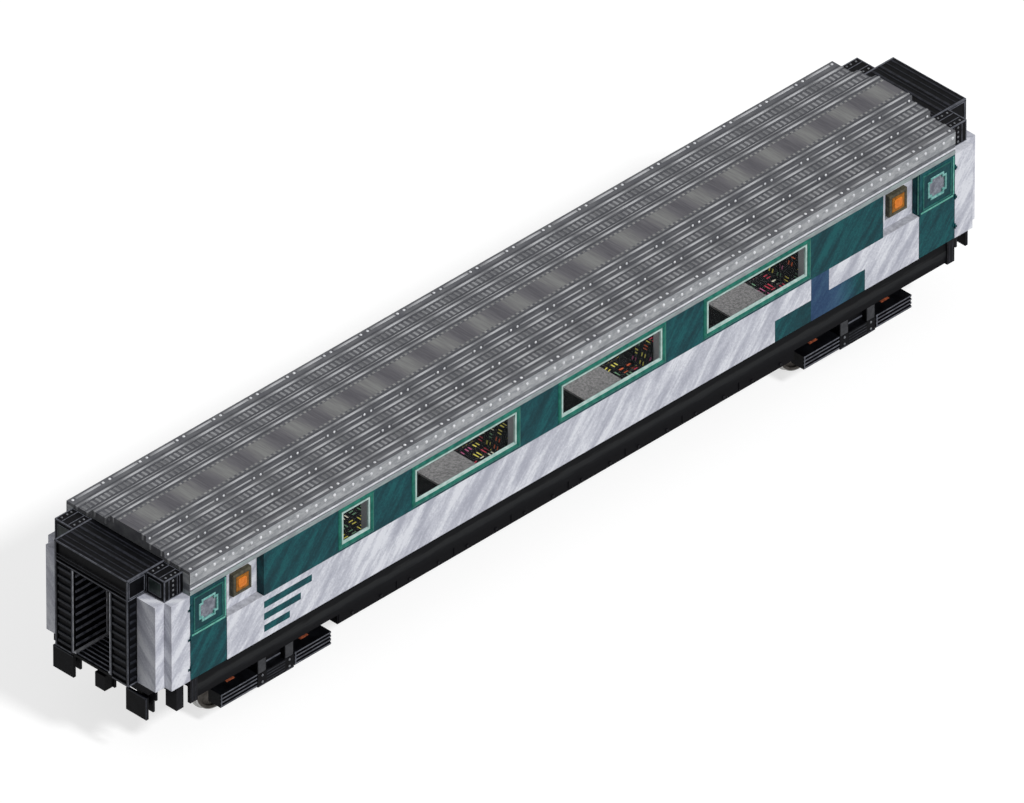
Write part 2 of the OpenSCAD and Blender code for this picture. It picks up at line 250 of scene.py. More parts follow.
def chamfered_template() -> tuple[np.ndarray, np.ndarray, list[np.ndarray]]:
    """The chamfered unit block that every bar is stretched from.

    Each of the 8 corners becomes 3 points, one on each of the faces that meet there.

    Returns:
        The corner signs of the 24 points, the axis on which each keeps its full size, and the faces.
    """
    corners = np.array([[i, j, k] for i in (-1, 1) for j in (-1, 1) for k in (-1, 1)])
    signs = np.repeat(corners, 3, axis=0)
    keeps = np.tile(np.arange(3), 8)
    where = signs * np.where(np.arange(3)[None] == keeps[:, None], 1.0, 0.9)
    faces = []
    for axis in range(3):
        a, b = (axis + 1) % 3, (axis + 2) % 3
        for s in (-1, 1):
            ring = [(-1, -1), (1, -1), (1, 1), (-1, 1)]
            faces.append([_corner(corners, axis, s, a, i, b, j) * 3 + axis for i, j in ring])
        for i in (-1, 1):
            for j in (-1, 1):
                low = _corner(corners, axis, -1, a, i, b, j) * 3
                high = _corner(corners, axis, 1, a, i, b, j) * 3
                faces.append([low + a, low + b, high + b, high + a])
    faces += [[3 * c, 3 * c + 1, 3 * c + 2] for c in range(8)]
    turned = []
    for face in faces:
        p = where[face]
        outward = np.dot(np.cross(p[1] - p[0], p[2] - p[1]), p.mean(0)) > 0
        turned.append(face if outward else face[::-1])
    groups = [np.array([f for f in turned if len(f) == n]) for n in (4, 3)]
    return signs, keeps, groups


def _corner(corners: np.ndarray, *pairs: int) -> int:
    """Row of the corner with the given signs on the given axes, as axis, sign, axis, sign."""
    match = np.ones(len(corners), bool)
    for axis, sign in zip(pairs[::2], pairs[1::2]):
        match &= corners[:, axis] == sign
    return int(np.flatnonzero(match)[0])


TEMPLATE = chamfered_template()


def bars(rows: Sequence[Sequence[float]], edge: float = 0.004) -> Shape:
    """Blocks with chamfered edges, all at once.

    A block's points are its middle plus the corner signs times half its size, less the chamfer on
    the two axes that a point does not keep.

    Args:
        rows: one row for each block: low x, high x, low y, high y, low z, high z, in metres.
        edge: the chamfer, which no block's smallest side may be under two of.

    Returns:
        All the blocks as one shape.
    """
    signs, keeps, groups = TEMPLATE
    rows = np.asarray(rows, float).reshape(-1, 3, 2)
    middle, half = rows.mean(2), np.abs(rows[:, :, 1] - rows[:, :, 0]) / 2
    cut = np.minimum(edge, half.min(1) * 0.6)[:, None, None]
    inset = np.where(np.arange(3)[None] == keeps[:, None], 0.0, 1.0)
    points = middle[:, None] + signs[None] * (half[:, None] - cut * inset[None])
    start = np.arange(len(rows))[:, None, None] * len(signs)
    faces = [(g[None] + start).reshape(-1, g.shape[1]) for g in groups]
    return Shape(points.reshape(-1, 3), faces)


def rivets(centres: np.ndarray, axis: Axis, sign: int, radius: float, proud: float) -> Shape:
    """Round rivet heads, all at once.

    A head is three rings of eight points about its centre, the last smaller and fully proud,
    closed by an eight-sided face below and above.

    Args:
        centres: one row for each head, its centre on the surface.
        axis: the axis that the heads stand out along.
        sign: 1 or -1, the way that they stand out.
        radius: the radius of a head.
        proud: how far it stands out.

    Returns:
        All the heads as one shape.
    """
    count = 8
    a, b = (axis.value + 1) % 3, (axis.value + 2) % 3
    turn = np.arange(count) * 2 * math.pi / count * sign
    ring = np.zeros((3, count, 3))
    for level, (r, h) in enumerate(((1.0, -0.2), (1.0, 0.4), (0.6, 1.0))):
        ring[level, :, a] = radius * r * np.cos(turn)
        ring[level, :, b] = radius * r * np.sin(turn)
        ring[level, :, axis.value] = sign * proud * h
    points = (np.asarray(centres, float)[:, None] + ring.reshape(1, -1, 3)).reshape(-1, 3)
    i = np.arange(count)
    j = (i + 1) % count
    quads = np.vstack([np.stack([i + k, j + k, j + k + count, i + k + count], 1)
                       for k in (0, count)])
    caps = np.stack([i[::-1], i + 2 * count])
    start = np.arange(len(centres))[:, None, None] * 3 * count
    return Shape(points, [(f[None] + start).reshape(-1, f.shape[1]) for f in (quads, caps)])


def grid_shape(points: np.ndarray, close_u: bool, close_v: bool) -> Shape:
    """A surface from a grid of points, closed round in either direction.

    Args:
        points: array of nu by nv by 3.
        close_u: joins the last row to the first.
        close_v: joins the last column to the first.

    Returns:
        The surface as quads.
    """
    nu, nv = points.shape[:2]
    u = np.arange(nu if close_u else nu - 1)
    v = np.arange(nv if close_v else nv - 1)
    u, v = np.meshgrid(u, v, indexing="ij")
    u, v = u.ravel(), v.ravel()
    u1, v1 = (u + 1) % nu, (v + 1) % nv
    quads = np.stack([u * nv + v, u1 * nv + v, u1 * nv + v1, u * nv + v1], 1)
    return Shape(points.reshape(-1, 3), [quads])


def side_frame(outline: np.ndarray, profile: np.ndarray, face_y: float) -> Shape:
    """A moulding carried round an outline on the right side, with mitred corners.

    Each outline corner moves out along its mitre by the profile's first value, and out of the side
    by its second.

    Args:
        outline: corners in x and z, going round anticlockwise seen from the right side's outside.
        profile: closed section as pairs of outward offset and height over the face.
        face_y: place of the face that it lies on.

    Returns:
        The moulding as one closed ring.
    """
    before, after = np.roll(outline, 1, 0), np.roll(outline, -1, 0)
    d0, d1 = _unit(outline - before), _unit(after - outline)
    n0, n1 = d0[:, ::-1] * [1, -1], d1[:, ::-1] * [1, -1]
    mitre = (n0 + n1) / (1 + (n0 * n1).sum(1))[:, None]
    flat = outline[:, None] + mitre[:, None] * profile[None, :, :1]
    y = np.broadcast_to(face_y + profile[None, :, 1], flat.shape[:2])
    return grid_shape(np.stack([flat[..., 0], y, flat[..., 1]], -1), True, True).outwards()


def _unit(vectors: np.ndarray) -> np.ndarray:
    """Each row at a length of 1."""
    return vectors / np.linalg.norm(vectors, axis=1, keepdims=True)


def pillow(low: Sequence[float], high: Sequence[float], steps: int = 15,
           power: float = 5.0) -> Shape:
    """A crowned pad that fills a box.

    A cube's surface grid is pushed onto a superellipsoid: each point is divided by the root of the
    sum of its coordinates' powers, so that faces crown and edges round.

    Args:
        low, high: corners of the box.
        steps: points along each edge of the grid.
        power: how square the pad is.

    Returns:
        The pad as a closed surface.
    """
    t = np.linspace(-1, 1, steps)
    u, v = np.meshgrid(t, t, indexing="ij")
    one = np.ones_like(u)
    shape = None
    for axis in range(3):
        for s in (-1, 1):
            face = np.zeros((steps, steps, 3))
            face[..., axis], face[..., (axis + 1) % 3], face[..., (axis + 2) % 3] = s * one, u, v
            part = grid_shape(face if s > 0 else face[::-1], False, False)
            shape = part if shape is None else shape + part
    p = shape.points
    p = p / (np.abs(p) ** power).sum(1, keepdims=True) ** (1 / power)
    low, high = np.asarray(low, float), np.asarray(high, float)
    return Shape((low + high) / 2 + p * (high - low) / 2, shape.faces)


AIR_PRESSURE = 4.0
CLOTH_FRAMES = 20


def inflated(shape: Shape, voxel: float, cap: float) -> Shape:
    """A pad swelled by air inside its cloth, as Blender's cloth simulation finds it.

    Args:
        shape: the slack pad.
        voxel: size of the cells that its surface is made again from.
        cap: the longest way that a point may move.

    Returns:
        The swelled pad, away from the scene.
    """
    scene = bpy.context.scene
    piece = bpy.data.objects.new("slack_pad", shape.mesh("slack_pad"))
    scene.collection.objects.link(piece)
    remesh = piece.modifiers.new("remesh", "REMESH")
    remesh.mode, remesh.voxel_size = "VOXEL", voxel
    now = bpy.context.evaluated_depsgraph_get()
    even = bpy.data.meshes.new_from_object(piece.evaluated_get(now))
    piece.modifiers.clear()
    piece.data = even
    cloth = piece.modifiers.new("cloth", "CLOTH")
    cloth.settings.use_pressure = True
    cloth.settings.uniform_pressure_force = AIR_PRESSURE
    cloth.settings.effector_weights.gravity = 0.0
    cloth.point_cache.frame_start, cloth.point_cache.frame_end = 1, CLOTH_FRAMES
    for step in range(1, CLOTH_FRAMES + 1):
        scene.frame_set(step)
    now = bpy.context.evaluated_depsgraph_get()
    settled = bpy.data.meshes.new_from_object(piece.evaluated_get(now))
    before, after = _points(even), _points(settled)
    shift = after - before
    far = np.linalg.norm(shift, axis=1, keepdims=True)
    shift *= np.minimum(1.0, cap / np.maximum(far, 1e-9))
    faces = {}
    for polygon in even.polygons:
        faces.setdefault(len(polygon.vertices), []).append(list(polygon.vertices))
    log.info("pad: %d points, moved up to %.1f mm", len(before), float(far.max()) * 1000)
    bpy.data.objects.remove(piece)
    scene.frame_set(1)
    return Shape(before + shift, [np.array(group) for group in faces.values()])


def _points(mesh: bpy.types.Mesh) -> np.ndarray:
    """A mesh's points as an array."""
    flat = np.empty(len(mesh.vertices) * 3)
    mesh.vertices.foreach_get("co", flat)
    return flat.reshape(-1, 3)


# ---- pieces ----


def publish(name: str, shape: Shape, finish: bpy.types.Material, body: str = BODY,
            smooth: bool = False) -> bpy.types.Object:
    """Puts a shape into the scene as a piece that rides on a body.

    Args:
        name: the piece's name.
        shape: its points and faces, in the frame.
        finish: its material.
        body: the body that it moves with.
        smooth: shades it smooth.

    Returns:
        The new object.
    """
    mesh = shape.mesh(name)
    mesh.materials.append(finish)
    mesh.polygons.foreach_set("use_smooth", [smooth] * len(mesh.polygons))
    piece = bpy.data.objects.new(name, mesh)
    bpy.context.scene.collection.objects.link(piece)
    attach(piece, body)
    log.info("%s: %d faces on %s", name, len(mesh.polygons), body)
    return piece


def merge_doubles(piece: bpy.types.Object, gap: float = 0.0005) -> None:
    """Joins the points of a piece that lie closer than the gap."""
    weld = piece.modifiers.new("weld", "WELD")
    weld.merge_threshold = gap


def clothe(frame: dict, finish: bpy.types.Material, *nodes: str) -> None:
    """Gives CAD nodes a finish.

    Args:
        finish: the material.
        nodes: the names of the nodes.
    """
    for node in nodes:
        mesh = frame["nodes"][node].data
        mesh.materials.clear()
        mesh.materials.append(finish)


# ---- finishes ----


class Weave:
    """A material's node tree, put together one socket at a time."""

    def __init__(self, name: str) -> None:
        """Starts an empty material.

        Args:
            name: the material's name.
        """
        self.material = bpy.data.materials.new(name)
        self.material.use_nodes = True
        self.tree = self.material.node_tree
        self.tree.nodes.clear()
        self.output = self.tree.nodes.new("ShaderNodeOutputMaterial")
        self.here = self.tree.nodes.new("ShaderNodeTexCoord").outputs["Object"]

    def _put(self, socket: Socket, value: object) -> None:
        """Sets a socket, or links it where the value is a socket too."""
        if isinstance(value, bpy.types.NodeSocket):
            self.tree.links.new(value, socket)
        elif value is not None:
            socket.default_value = value

    def math(self, kind: str, a: object, b: object = None, clamp: bool = False) -> Socket:
        """One Math node on two values or sockets."""
        node = self.tree.nodes.new("ShaderNodeMath")
        node.operation, node.use_clamp = kind, clamp
        self._put(node.inputs[0], a)
        self._put(node.inputs[1], b)
        return node.outputs[0]

    def axes(self) -> tuple[Socket, Socket, Socket]:
        """The object's x, y and z."""
        node = self.tree.nodes.new("ShaderNodeSeparateXYZ")
        self.tree.links.new(self.here, node.inputs[0])
        return node.outputs[0], node.outputs[1], node.outputs[2]

    def vector(self, x: object, y: object, z: object) -> Socket:
        """A vector from three values or sockets."""
        node = self.tree.nodes.new("ShaderNodeCombineXYZ")
        for socket, value in zip(node.inputs, (x, y, z)):
            self._put(socket, value)
        return node.outputs[0]

    def noise(self, vector: Socket, scale: float, detail: float = 2.0,
              rough: float = 0.5) -> Socket:
        """Noise from 0 to 1 about 0.5."""
        node = self.tree.nodes.new("ShaderNodeTexNoise")
        self._put(node.inputs["Vector"], vector)
        self._put(node.inputs["Scale"], scale)
        self._put(node.inputs["Detail"], detail)
        self._put(node.inputs["Roughness"], rough)
        return node.outputs["Fac"]

    def scaled(self, x: float, y: float, z: float) -> Socket:
        """The object's place with each axis stretched by a factor."""
        node = self.tree.nodes.new("ShaderNodeMapping")
        self.tree.links.new(self.here, node.inputs["Vector"])
        node.inputs["Scale"].default_value = (x, y, z)
        return node.outputs[0]

    def steps(self, value: Socket, stops: Sequence[tuple[float, tuple]],
              hard: bool = False) -> Socket:
        """A colour ramp from stops of place and colour."""
        node = self.tree.nodes.new("ShaderNodeValToRGB")
        ramp = node.color_ramp
        ramp.interpolation = "CONSTANT" if hard else "LINEAR"
        while len(ramp.elements) < len(stops):
            ramp.elements.new(0.5)
        for element, (place, colour) in zip(ramp.elements, sorted(stops, key=lambda s: s[0])):
            element.position, element.color = place, colour
        self._put(node.inputs[0], value)
        return node.outputs[0]

    def blend(self, share: object, a: object, b: object, kind: str = "MIX") -> Socket:
        """Two colours mixed by a share."""
        node = self.tree.nodes.new("ShaderNodeMix")
        node.data_type, node.blend_type = "RGBA", kind
        self._put(node.inputs[0], share)
        self._put(node.inputs[6], a)
        self._put(node.inputs[7], b)
        return node.outputs[2]

    def ramp(self, value: Socket, low: float, high: float, to_low: float, to_high: float) -> Socket:
        """A value moved from one range to another, and held at its ends."""
        node = self.tree.nodes.new("ShaderNodeMapRange")
        for socket, number in zip(node.inputs, (value, low, high, to_low, to_high)):
            self._put(socket, number)
        return node.outputs[0]

    def between(self, value: Socket, low: float, high: float) -> Socket:
        """1 where the value lies between two limits, else 0."""
        above = self.math("GREATER_THAN", value, low)
        return self.math("MULTIPLY", above, self.math("LESS_THAN", value, high))

    def both(self, *shares: Socket) -> Socket:
        """The product of shares from 0 to 1."""
        result = shares[0]
        for share in shares[1:]:
            result = self.math("MULTIPLY", result, share)
        return result

    def either(self, *shares: Socket) -> Socket:
        """The largest of several shares."""
        result = shares[0]
        for share in shares[1:]:
            result = self.math("MAXIMUM", result, share)
        return result

    def surface(self, colour: object, rough: object, metal: float = 0.0, bump: Socket | None = None,
                depth: float = 0.002, gloss: float = 0.1, **extra: object) -> bpy.types.Material:
        """Ends the tree in a Principled shader.

        Args:
            colour: base colour, or a socket that gives it.
            rough: roughness, or a socket that gives it.
            metal: metallic value.
            bump: height of the surface's relief, from 0 to 1.
            depth: the relief's depth in metres.
            gloss: specular level, low on old matt paint.
            extra: further sockets of the shader, with _ for a space.

        Returns:
            The finished material.
        """
        shader = self.tree.nodes.new("ShaderNodeBsdfPrincipled")
        self._put(shader.inputs["Base Color"], colour)
        self._put(shader.inputs["Roughness"], rough)
        shader.inputs["Metallic"].default_value = metal
        shader.inputs["Specular IOR Level"].default_value = gloss
        for name, value in extra.items():
            shader.inputs[name.replace("_", " ")].default_value = value
        if bump is not None:
            node = self.tree.nodes.new("ShaderNodeBump")
            node.inputs["Distance"].default_value = depth
            self._put(node.inputs["Height"], bump)
            self.tree.links.new(node.outputs[0], shader.inputs["Normal"])
        self.tree.links.new(shader.outputs[0], self.output.inputs[0])
        return self.material


STREAK_SLOPE = math.radians(50)


def streaks(w: Weave, across: float, along: float) -> Socket:
    """Slanting brush streaks on the sides and ends.

    The place is turned so that one axis runs up the slant, and noise is drawn out along it.

    Args:
        w: the material that they belong to.
        across: noise cells for each metre across the streaks.
        along: noise cells for each metre along them.

    Returns:
        The streaks' strength, from 0 to 1.
    """
    x, y, z = w.axes()
    level = w.math("ADD", x, y)
    c, s = math.cos(STREAK_SLOPE), math.sin(STREAK_SLOPE)
    up = w.math("ADD", w.math("MULTIPLY", level, c * along), w.math("MULTIPLY", z, s * along))
    over = w.math("SUBTRACT", w.math("MULTIPLY", level, s * across),
                  w.math("MULTIPLY", z, c * across))
    return w.noise(w.vector(over, up, 0.0), 1.0, 3.0, 0.6)


@dataclass(frozen=True)
class StreakedPaint:
    """Paint with slanting streaks, as on the sides, ends and doors."""

    dark: tuple
    middle: tuple
    light: tuple
    across: float = 5.0
    fine_share: float = 0.25
    speckle_share: float = 0.2

    def colour(self, w: Weave) -> Socket:
        """The paint's colour: wide streaks, fine streaks and a speckle of small patches."""
        wide, fine = streaks(w, self.across, 0.6), streaks(w, 17.0, 2.5)
        speckle = w.noise(w.here, 30.0, 1.0)
        wide_share = 1 - self.fine_share - self.speckle_share
        mixed = w.math("ADD", w.math("MULTIPLY", wide, wide_share),
                       w.math("MULTIPLY", fine, self.fine_share))
        mixed = w.math("ADD", mixed, w.math("MULTIPLY", speckle, self.speckle_share))
        return w.steps(mixed, [(0.40, self.dark), (0.5, self.middle), (0.59, self.light)])


TEAL = StreakedPaint(srgb(2, 45, 52), srgb(7, 62, 69), srgb(15, 80, 84))
WHITE = StreakedPaint(srgb(166, 168, 180), srgb(190, 192, 202), srgb(216, 218, 225),
                      3.6, 0.18, 0.16)
BLUE = StreakedPaint(srgb(30, 56, 90), srgb(42, 70, 100), srgb(52, 83, 110))
INSIDE_GREY = srgb(150, 151, 153)


@dataclass(frozen=True)
class Livery:
    """Teal over white, with the patches of the rear end and plain speed lines at the front end."""

    plan: Plan
    teal_patches: tuple = ((16.0, 17.0, 0.0, 0.5),)
    blue_patches: tuple = ((17.0, 17.5, 0.0, 1.0), (17.5, 18.5, 0.0, 0.5))
    speed_lines: tuple = ((2.0, 3.3, 0.70, 0.86), (2.0, 3.0, 0.42, 0.58), (2.0, 2.7, 0.14, 0.30))

    def _patch(self, w: Weave, b: Socket, h: Socket, rows: tuple) -> Socket:
        """1 inside any patch, given as first and last bay, low and high bay of height."""
        return w.either(*[w.both(w.between(b, r[0], r[1]), w.between(h, r[2], r[3])) for r in rows])

    def build(self) -> bpy.types.Material:
        """The livery as a material for the sides."""
        w = Weave("livery")
        x, y, z = w.axes()
        b = w.math("MULTIPLY_ADD", x, 1 / self.plan.bay)
        b.node.inputs[2].default_value = BAYS / 2
        h = w.math("DIVIDE", w.math("SUBTRACT", z, self.plan.deck), self.plan.bay)
        upper = w.math("GREATER_THAN", h, 1.0)
        plain = w.between(b, 1.995, 19.005)
        teal = w.either(w.both(upper, plain), self._patch(w, b, h, self.teal_patches),
                        self._patch(w, b, h, self.speed_lines))
        blue = self._patch(w, b, h, self.blue_patches)
        fade = w.ramp(b, 17.7, 18.3, 0.0, 1.0)
        white_or_teal = w.blend(teal, WHITE.colour(w), TEAL.colour(w))
        patch = w.blend(fade, BLUE.colour(w), TEAL.colour(w))
        outside = w.blend(blue, white_or_teal, patch)
        depth = w.math("ABSOLUTE", y)
        inner = w.math("LESS_THAN", depth, self.plan.lining + 0.006)
        reveal = w.both(w.math("LESS_THAN", depth, self.plan.skin - 0.042), w.between(b, 3.5, 17.5))
        colour = w.blend(w.either(inner, reveal), outside, INSIDE_GREY)
        grain = w.noise(w.here, 90.0, 2.0)
        return w.surface(colour, 0.42, bump=grain, depth=0.0006)


@dataclass(frozen=True)
class DoorPaint:
    """Teal door paint, with painted shade darkening the inset of its upper half."""

    plan: Plan

    def build(self) -> bpy.types.Material:
        """The paint as a material, right for all four doors by its distance from the middle."""
        w = Weave("door_teal")
        x, _, z = w.axes()
        b = w.math("DIVIDE", w.math("SUBTRACT", self.plan.end, w.math("ABSOLUTE", x)),
                   self.plan.bay)
        h = w.math("DIVIDE", w.math("SUBTRACT", z, self.plan.deck), self.plan.bay)
        # Painted shade: the inset of the upper half is darkened halfway towards a dark teal, as the shade
        # inside the lining
        inset = w.both(w.between(b, 0.1, 0.88), w.between(h, 1.08, 1.92))
        shade = w.blend(w.math("MULTIPLY", inset, 0.5), TEAL.colour(w), srgb(14, 46, 52))
        grain = w.noise(w.here, 90.0, 2.0)
        return w.surface(shade, 0.42, bump=grain, depth=0.0006)


@dataclass(frozen=True)
class DoorwayPaint:
    """Teal on the outer part of the doorways, grey inside."""

    plan: Plan

    def build(self) -> bpy.types.Material:
        """The paint as a material."""
        w = Weave("door_frame_grey")
        _, y, _ = w.axes()
        outer = w.math("GREATER_THAN", w.math("ABSOLUTE", y), self.plan.lining + 0.004)
        grain = w.noise(w.here, 90.0, 2.0)
        return w.surface(w.blend(outer, INSIDE_GREY, TEAL.colour(w)), 0.45, bump=grain,
                         depth=0.0006)


@dataclass(frozen=True)
class EndPaint:
    """White on the end walls, teal on the hinge knuckles that stand out of the sides."""

    plan: Plan

    def build(self) -> bpy.types.Material:
        """The paint as a material."""
        w = Weave("white_paint")
        _, y, _ = w.axes()
        knuckle = w.math("GREATER_THAN", w.math("ABSOLUTE", y), self.plan.skin + 0.001)
        grain = w.noise(w.here, 90.0, 2.0)
        return w.surface(w.blend(knuckle, WHITE.colour(w), TEAL.dark), 0.45, bump=grain,
                         depth=0.0006)


@dataclass(frozen=True)
class PlainPaint:
    """One paint with mottling, grain and a little wear."""

    name: str
    colour: tuple
    shade: tuple
    rough: float
    scale: float
    metal: float
    gloss: float

    def build(self) -> bpy.types.Material:
        """The paint as a material."""
        w = Weave(self.name)
        cloud = w.noise(w.here, self.scale, 4.0, 0.65)
        grain = w.noise(w.here, self.scale * 14, 2.0)
        colour = w.steps(cloud, [(0.38, self.shade), (0.62, self.colour)])
        rough = w.ramp(grain, 0.3, 0.7, self.rough - 0.08, self.rough + 0.08)
        return w.surface(colour, rough, self.metal, bump=grain, depth=0.0008, gloss=self.gloss)


@dataclass(frozen=True)
class RoofSheet:
    """Grey roof sheets: mottled, brushed crosswise in the middle, a paler patch in each bay."""

    plan: Plan
    plate_half: float = 0.25
    pale_at: float = 0.6

    def build(self) -> bpy.types.Material:
        """The sheet's material: a wave along the coach and crosswise marks shade the middle."""
        w = Weave("roof_sheet")
        x, y, z = w.axes()
        turn = 2 * math.pi / self.plan.bay
        phase = w.math("MULTIPLY", w.math("SUBTRACT", x, (self.pale_at - 0.5) * self.plan.bay),
                       turn)
        wave = w.ramp(w.math("COSINE", phase), -1.0, 1.0, 0.0, 1.0)
        brush = w.noise(w.scaled(14.0, 1.1, 1.0), 1.0, 3.0, 0.65)
        fine = w.noise(w.scaled(38.0, 3.0, 1.0), 1.0, 2.0, 0.5)
        marks = w.math("ADD", w.math("MULTIPLY", brush, 0.6), w.math("MULTIPLY", fine, 0.4))
        mixed = w.math("ADD", w.math("MULTIPLY", wave, 0.34), w.math("MULTIPLY", marks, 0.66))
        plate = w.steps(mixed, [(0.30, srgb(84, 83, 88)), (0.46, srgb(99, 98, 102)),
                                (0.58, srgb(110, 110, 111)), (0.7, srgb(124, 125, 124))])
        cloud = w.noise(w.scaled(1.2, 3.0, 3.0), 2.4, 4.0, 0.6)
        sheet = w.steps(cloud, [(0.35, srgb(84, 85, 90)), (0.5, srgb(93, 94, 98)),
                                (0.66, srgb(104, 105, 108))])
        middle = w.math("LESS_THAN", w.math("ABSOLUTE", y), self.plate_half * self.plan.bay)
        top = w.math("GREATER_THAN", z, self.plan.roof_top - 0.01)
        colour = w.blend(w.both(middle, top), sheet, plate)
        inside = w.math("LESS_THAN", z, self.plan.cornice_top + 0.006)
        colour = w.blend(inside, colour, srgb(150, 151, 150))
        grain = w.noise(w.here, 60.0, 3.0)
        return w.surface(colour, 0.55, 0.1, bump=grain, depth=0.0015)


@dataclass(frozen=True)
class BrightLine:
    """Light strips of the roof, brightest past the middle of each bay."""

    plan: Plan
    name: str
    dark: tuple
    light: tuple

    def build(self) -> bpy.types.Material:
        """The strip as a material."""
        w = Weave(self.name)
        x, _, _ = w.axes()
        wave = w.math("COSINE", w.math("MULTIPLY", w.math("SUBTRACT", x, 0.1 * self.plan.bay),
                                       2 * math.pi / self.plan.bay))
        cloud = w.noise(w.here, 5.0, 3.0)
        mixed = w.math("ADD", w.ramp(wave, -1.0, 1.0, 0.0, 0.6), w.math("MULTIPLY", cloud, 0.4))
        colour = w.steps(mixed, [(0.15, self.dark), (0.75, self.light)])
        return w.surface(colour, 0.45, 0.15, bump=cloud, depth=0.001)


@dataclass(frozen=True)
class CornicePaint:
    """Light grey band under the roof, shaded by height."""

    plan: Plan

    def build(self) -> bpy.types.Material:
        """The paint as a material: pale strip, grey grooves and riveted band."""
        w = Weave("cornice_paint")
        _, _, z = w.axes()
        h = w.math("DIVIDE", w.math("SUBTRACT", z, self.plan.side_top), self.plan.bay)
        bands = w.steps(h, [(0.0, srgb(146, 158, 158)), (0.1, srgb(96, 98, 103)),
                            (0.2, srgb(92, 94, 99)), (0.26, srgb(166, 168, 171)),
                            (0.5, srgb(158, 160, 164))], hard=True)
        cloud = w.noise(w.scaled(1.0, 1.0, 2.5), 5.0, 4.0, 0.7)
        colour = w.blend(w.ramp(cloud, 0.4, 0.6, 0.0, 0.75), bands, srgb(126, 129, 133))
        return w.surface(colour, 0.45, bump=cloud, depth=0.001)


@dataclass(frozen=True)
class SkirtPaint:
    """Black skirt with a grey dust line along its middle."""

    plan: Plan

    def build(self) -> bpy.types.Material:
        """The paint as a material."""
        w = Weave("skirt_black")
        _, _, z = w.axes()
        drawn = w.noise(w.scaled(0.9, 1.0, 9.0), 2.0, 4.0, 0.6)
        level = w.math("DIVIDE", w.math("SUBTRACT", self.plan.deck, z), self.plan.bay)
        shifted = w.math("ADD", level, w.math("MULTIPLY", w.math("SUBTRACT", drawn, 0.5), 0.2))
        colour = w.steps(shifted, [(0.0, srgb(6, 7, 10)), (0.17, srgb(10, 11, 13)),
                                   (0.22, srgb(34, 35, 36)), (0.30, srgb(32, 33, 35)),
                                   (0.38, srgb(10, 11, 14)), (0.5, srgb(5, 5, 8))])
        return w.surface(colour, 0.55, bump=drawn, depth=0.001, gloss=0.05)


@dataclass(frozen=True)
class Glass:
    """Window glass that shows what is behind it."""

    name: str
    tint: tuple
    clear: float = 0.9

    def build(self) -> bpy.types.Material:
        """The glass as a material: a thin gloss over a mostly see-through sheet."""
        w = Weave(self.name)
        dust = w.noise(w.here, 7.0, 3.0)
        return w.surface(self.tint, w.ramp(dust, 0.3, 0.7, 0.05, 0.12), gloss=0.25,
                         Alpha=1 - self.clear)


@dataclass(frozen=True)
class Flecks:
    """Black pile with pairs of short coloured dashes, as carpet and as seat cloth."""

    name: str
    pitch: float = 0.2
    bare_share: float = 0.22
    # Parts of a cell: the two dashes' breadths, and their length
    dashes: tuple = ((0.2, 0.33), (0.6, 0.73))
    length: tuple = (0.22, 0.7)

    def build(self) -> bpy.types.Material:
        """The cloth as a material: a slanted lattice, with one pair of dashes in each cell.

        The lattice's axes run so that none of the three main faces of a seat is left with stripes. A
        chance value for each cell picks the colour of its dashes and whether they stand or lie.
        """
        w = Weave(self.name)
        x, y, z = w.axes()
        rate = 1 / self.pitch
        u = w.math("MULTIPLY", w.math("ADD", y, w.math("MULTIPLY", z, 0.25)), rate)
        v = w.math("MULTIPLY", w.math("ADD", x, z), rate)
        cell = w.vector(w.math("FLOOR", u), w.math("FLOOR", v), 0.0)
        chance = w.tree.nodes.new("ShaderNodeTexWhiteNoise")
        w.tree.links.new(cell, chance.inputs["Vector"])
        split = w.tree.nodes.new("ShaderNodeSeparateColor")
        w.tree.links.new(chance.outputs["Color"], split.inputs[0])
        stands = w.math("GREATER_THAN", split.outputs[1], 0.5)
        filled = w.math("GREATER_THAN", split.outputs[2], self.bare_share)
        marks = w.both(filled, w.blend(stands, self._pair(w, u, v), self._pair(w, v, u)))
        hue = w.steps(split.outputs[0], [
            (0.0, srgb(214, 204, 92)), (0.26, srgb(186, 58, 76)), (0.46, srgb(104, 142, 112)),
            (0.62, srgb(222, 218, 196)), (0.74, srgb(168, 84, 124)), (0.88, srgb(200, 94, 56))],
            hard=True)
        pile = w.noise(w.here, 260.0, 2.0)
        ground = w.steps(pile, [(0.3, srgb(4, 4, 6)), (0.7, srgb(14, 13, 16))])
        return w.surface(w.blend(marks, ground, hue), 0.9, bump=pile, depth=0.002, gloss=0.05,
                         Sheen_Weight=0.05)

    def _pair(self, w: Weave, along: Socket, over: Socket) -> Socket:
        """1 on two parallel dashes in each cell, else 0."""
        a, b = w.math("FRACT", along), w.math("FRACT", over)
        rows = w.either(*[w.between(b, *dash) for dash in self.dashes])
        return w.both(w.between(a, *self.length), rows)


@dataclass(frozen=True)
class TableTop:
    """Grey speckled laminate over a near-black base, painted shade under the table."""

    top: float

    def build(self) -> bpy.types.Material:
        """The table's laminate and its painted-shade base, split by height."""
        w = Weave("table_grey")
        _, _, z = w.axes()
        speck = w.noise(w.here, 22.0, 3.0, 0.7)
        laminate = w.steps(speck, [(0.38, srgb(88, 87, 88)), (0.6, srgb(122, 121, 121))])
        high = w.math("GREATER_THAN", z, self.top - 0.042)
        # Painted shade: all below the top is near black, standing in for the shade under the table
        colour = w.blend(high, srgb(9, 9, 13), laminate)
        return w.surface(colour, 0.5, bump=speck, depth=0.0005)


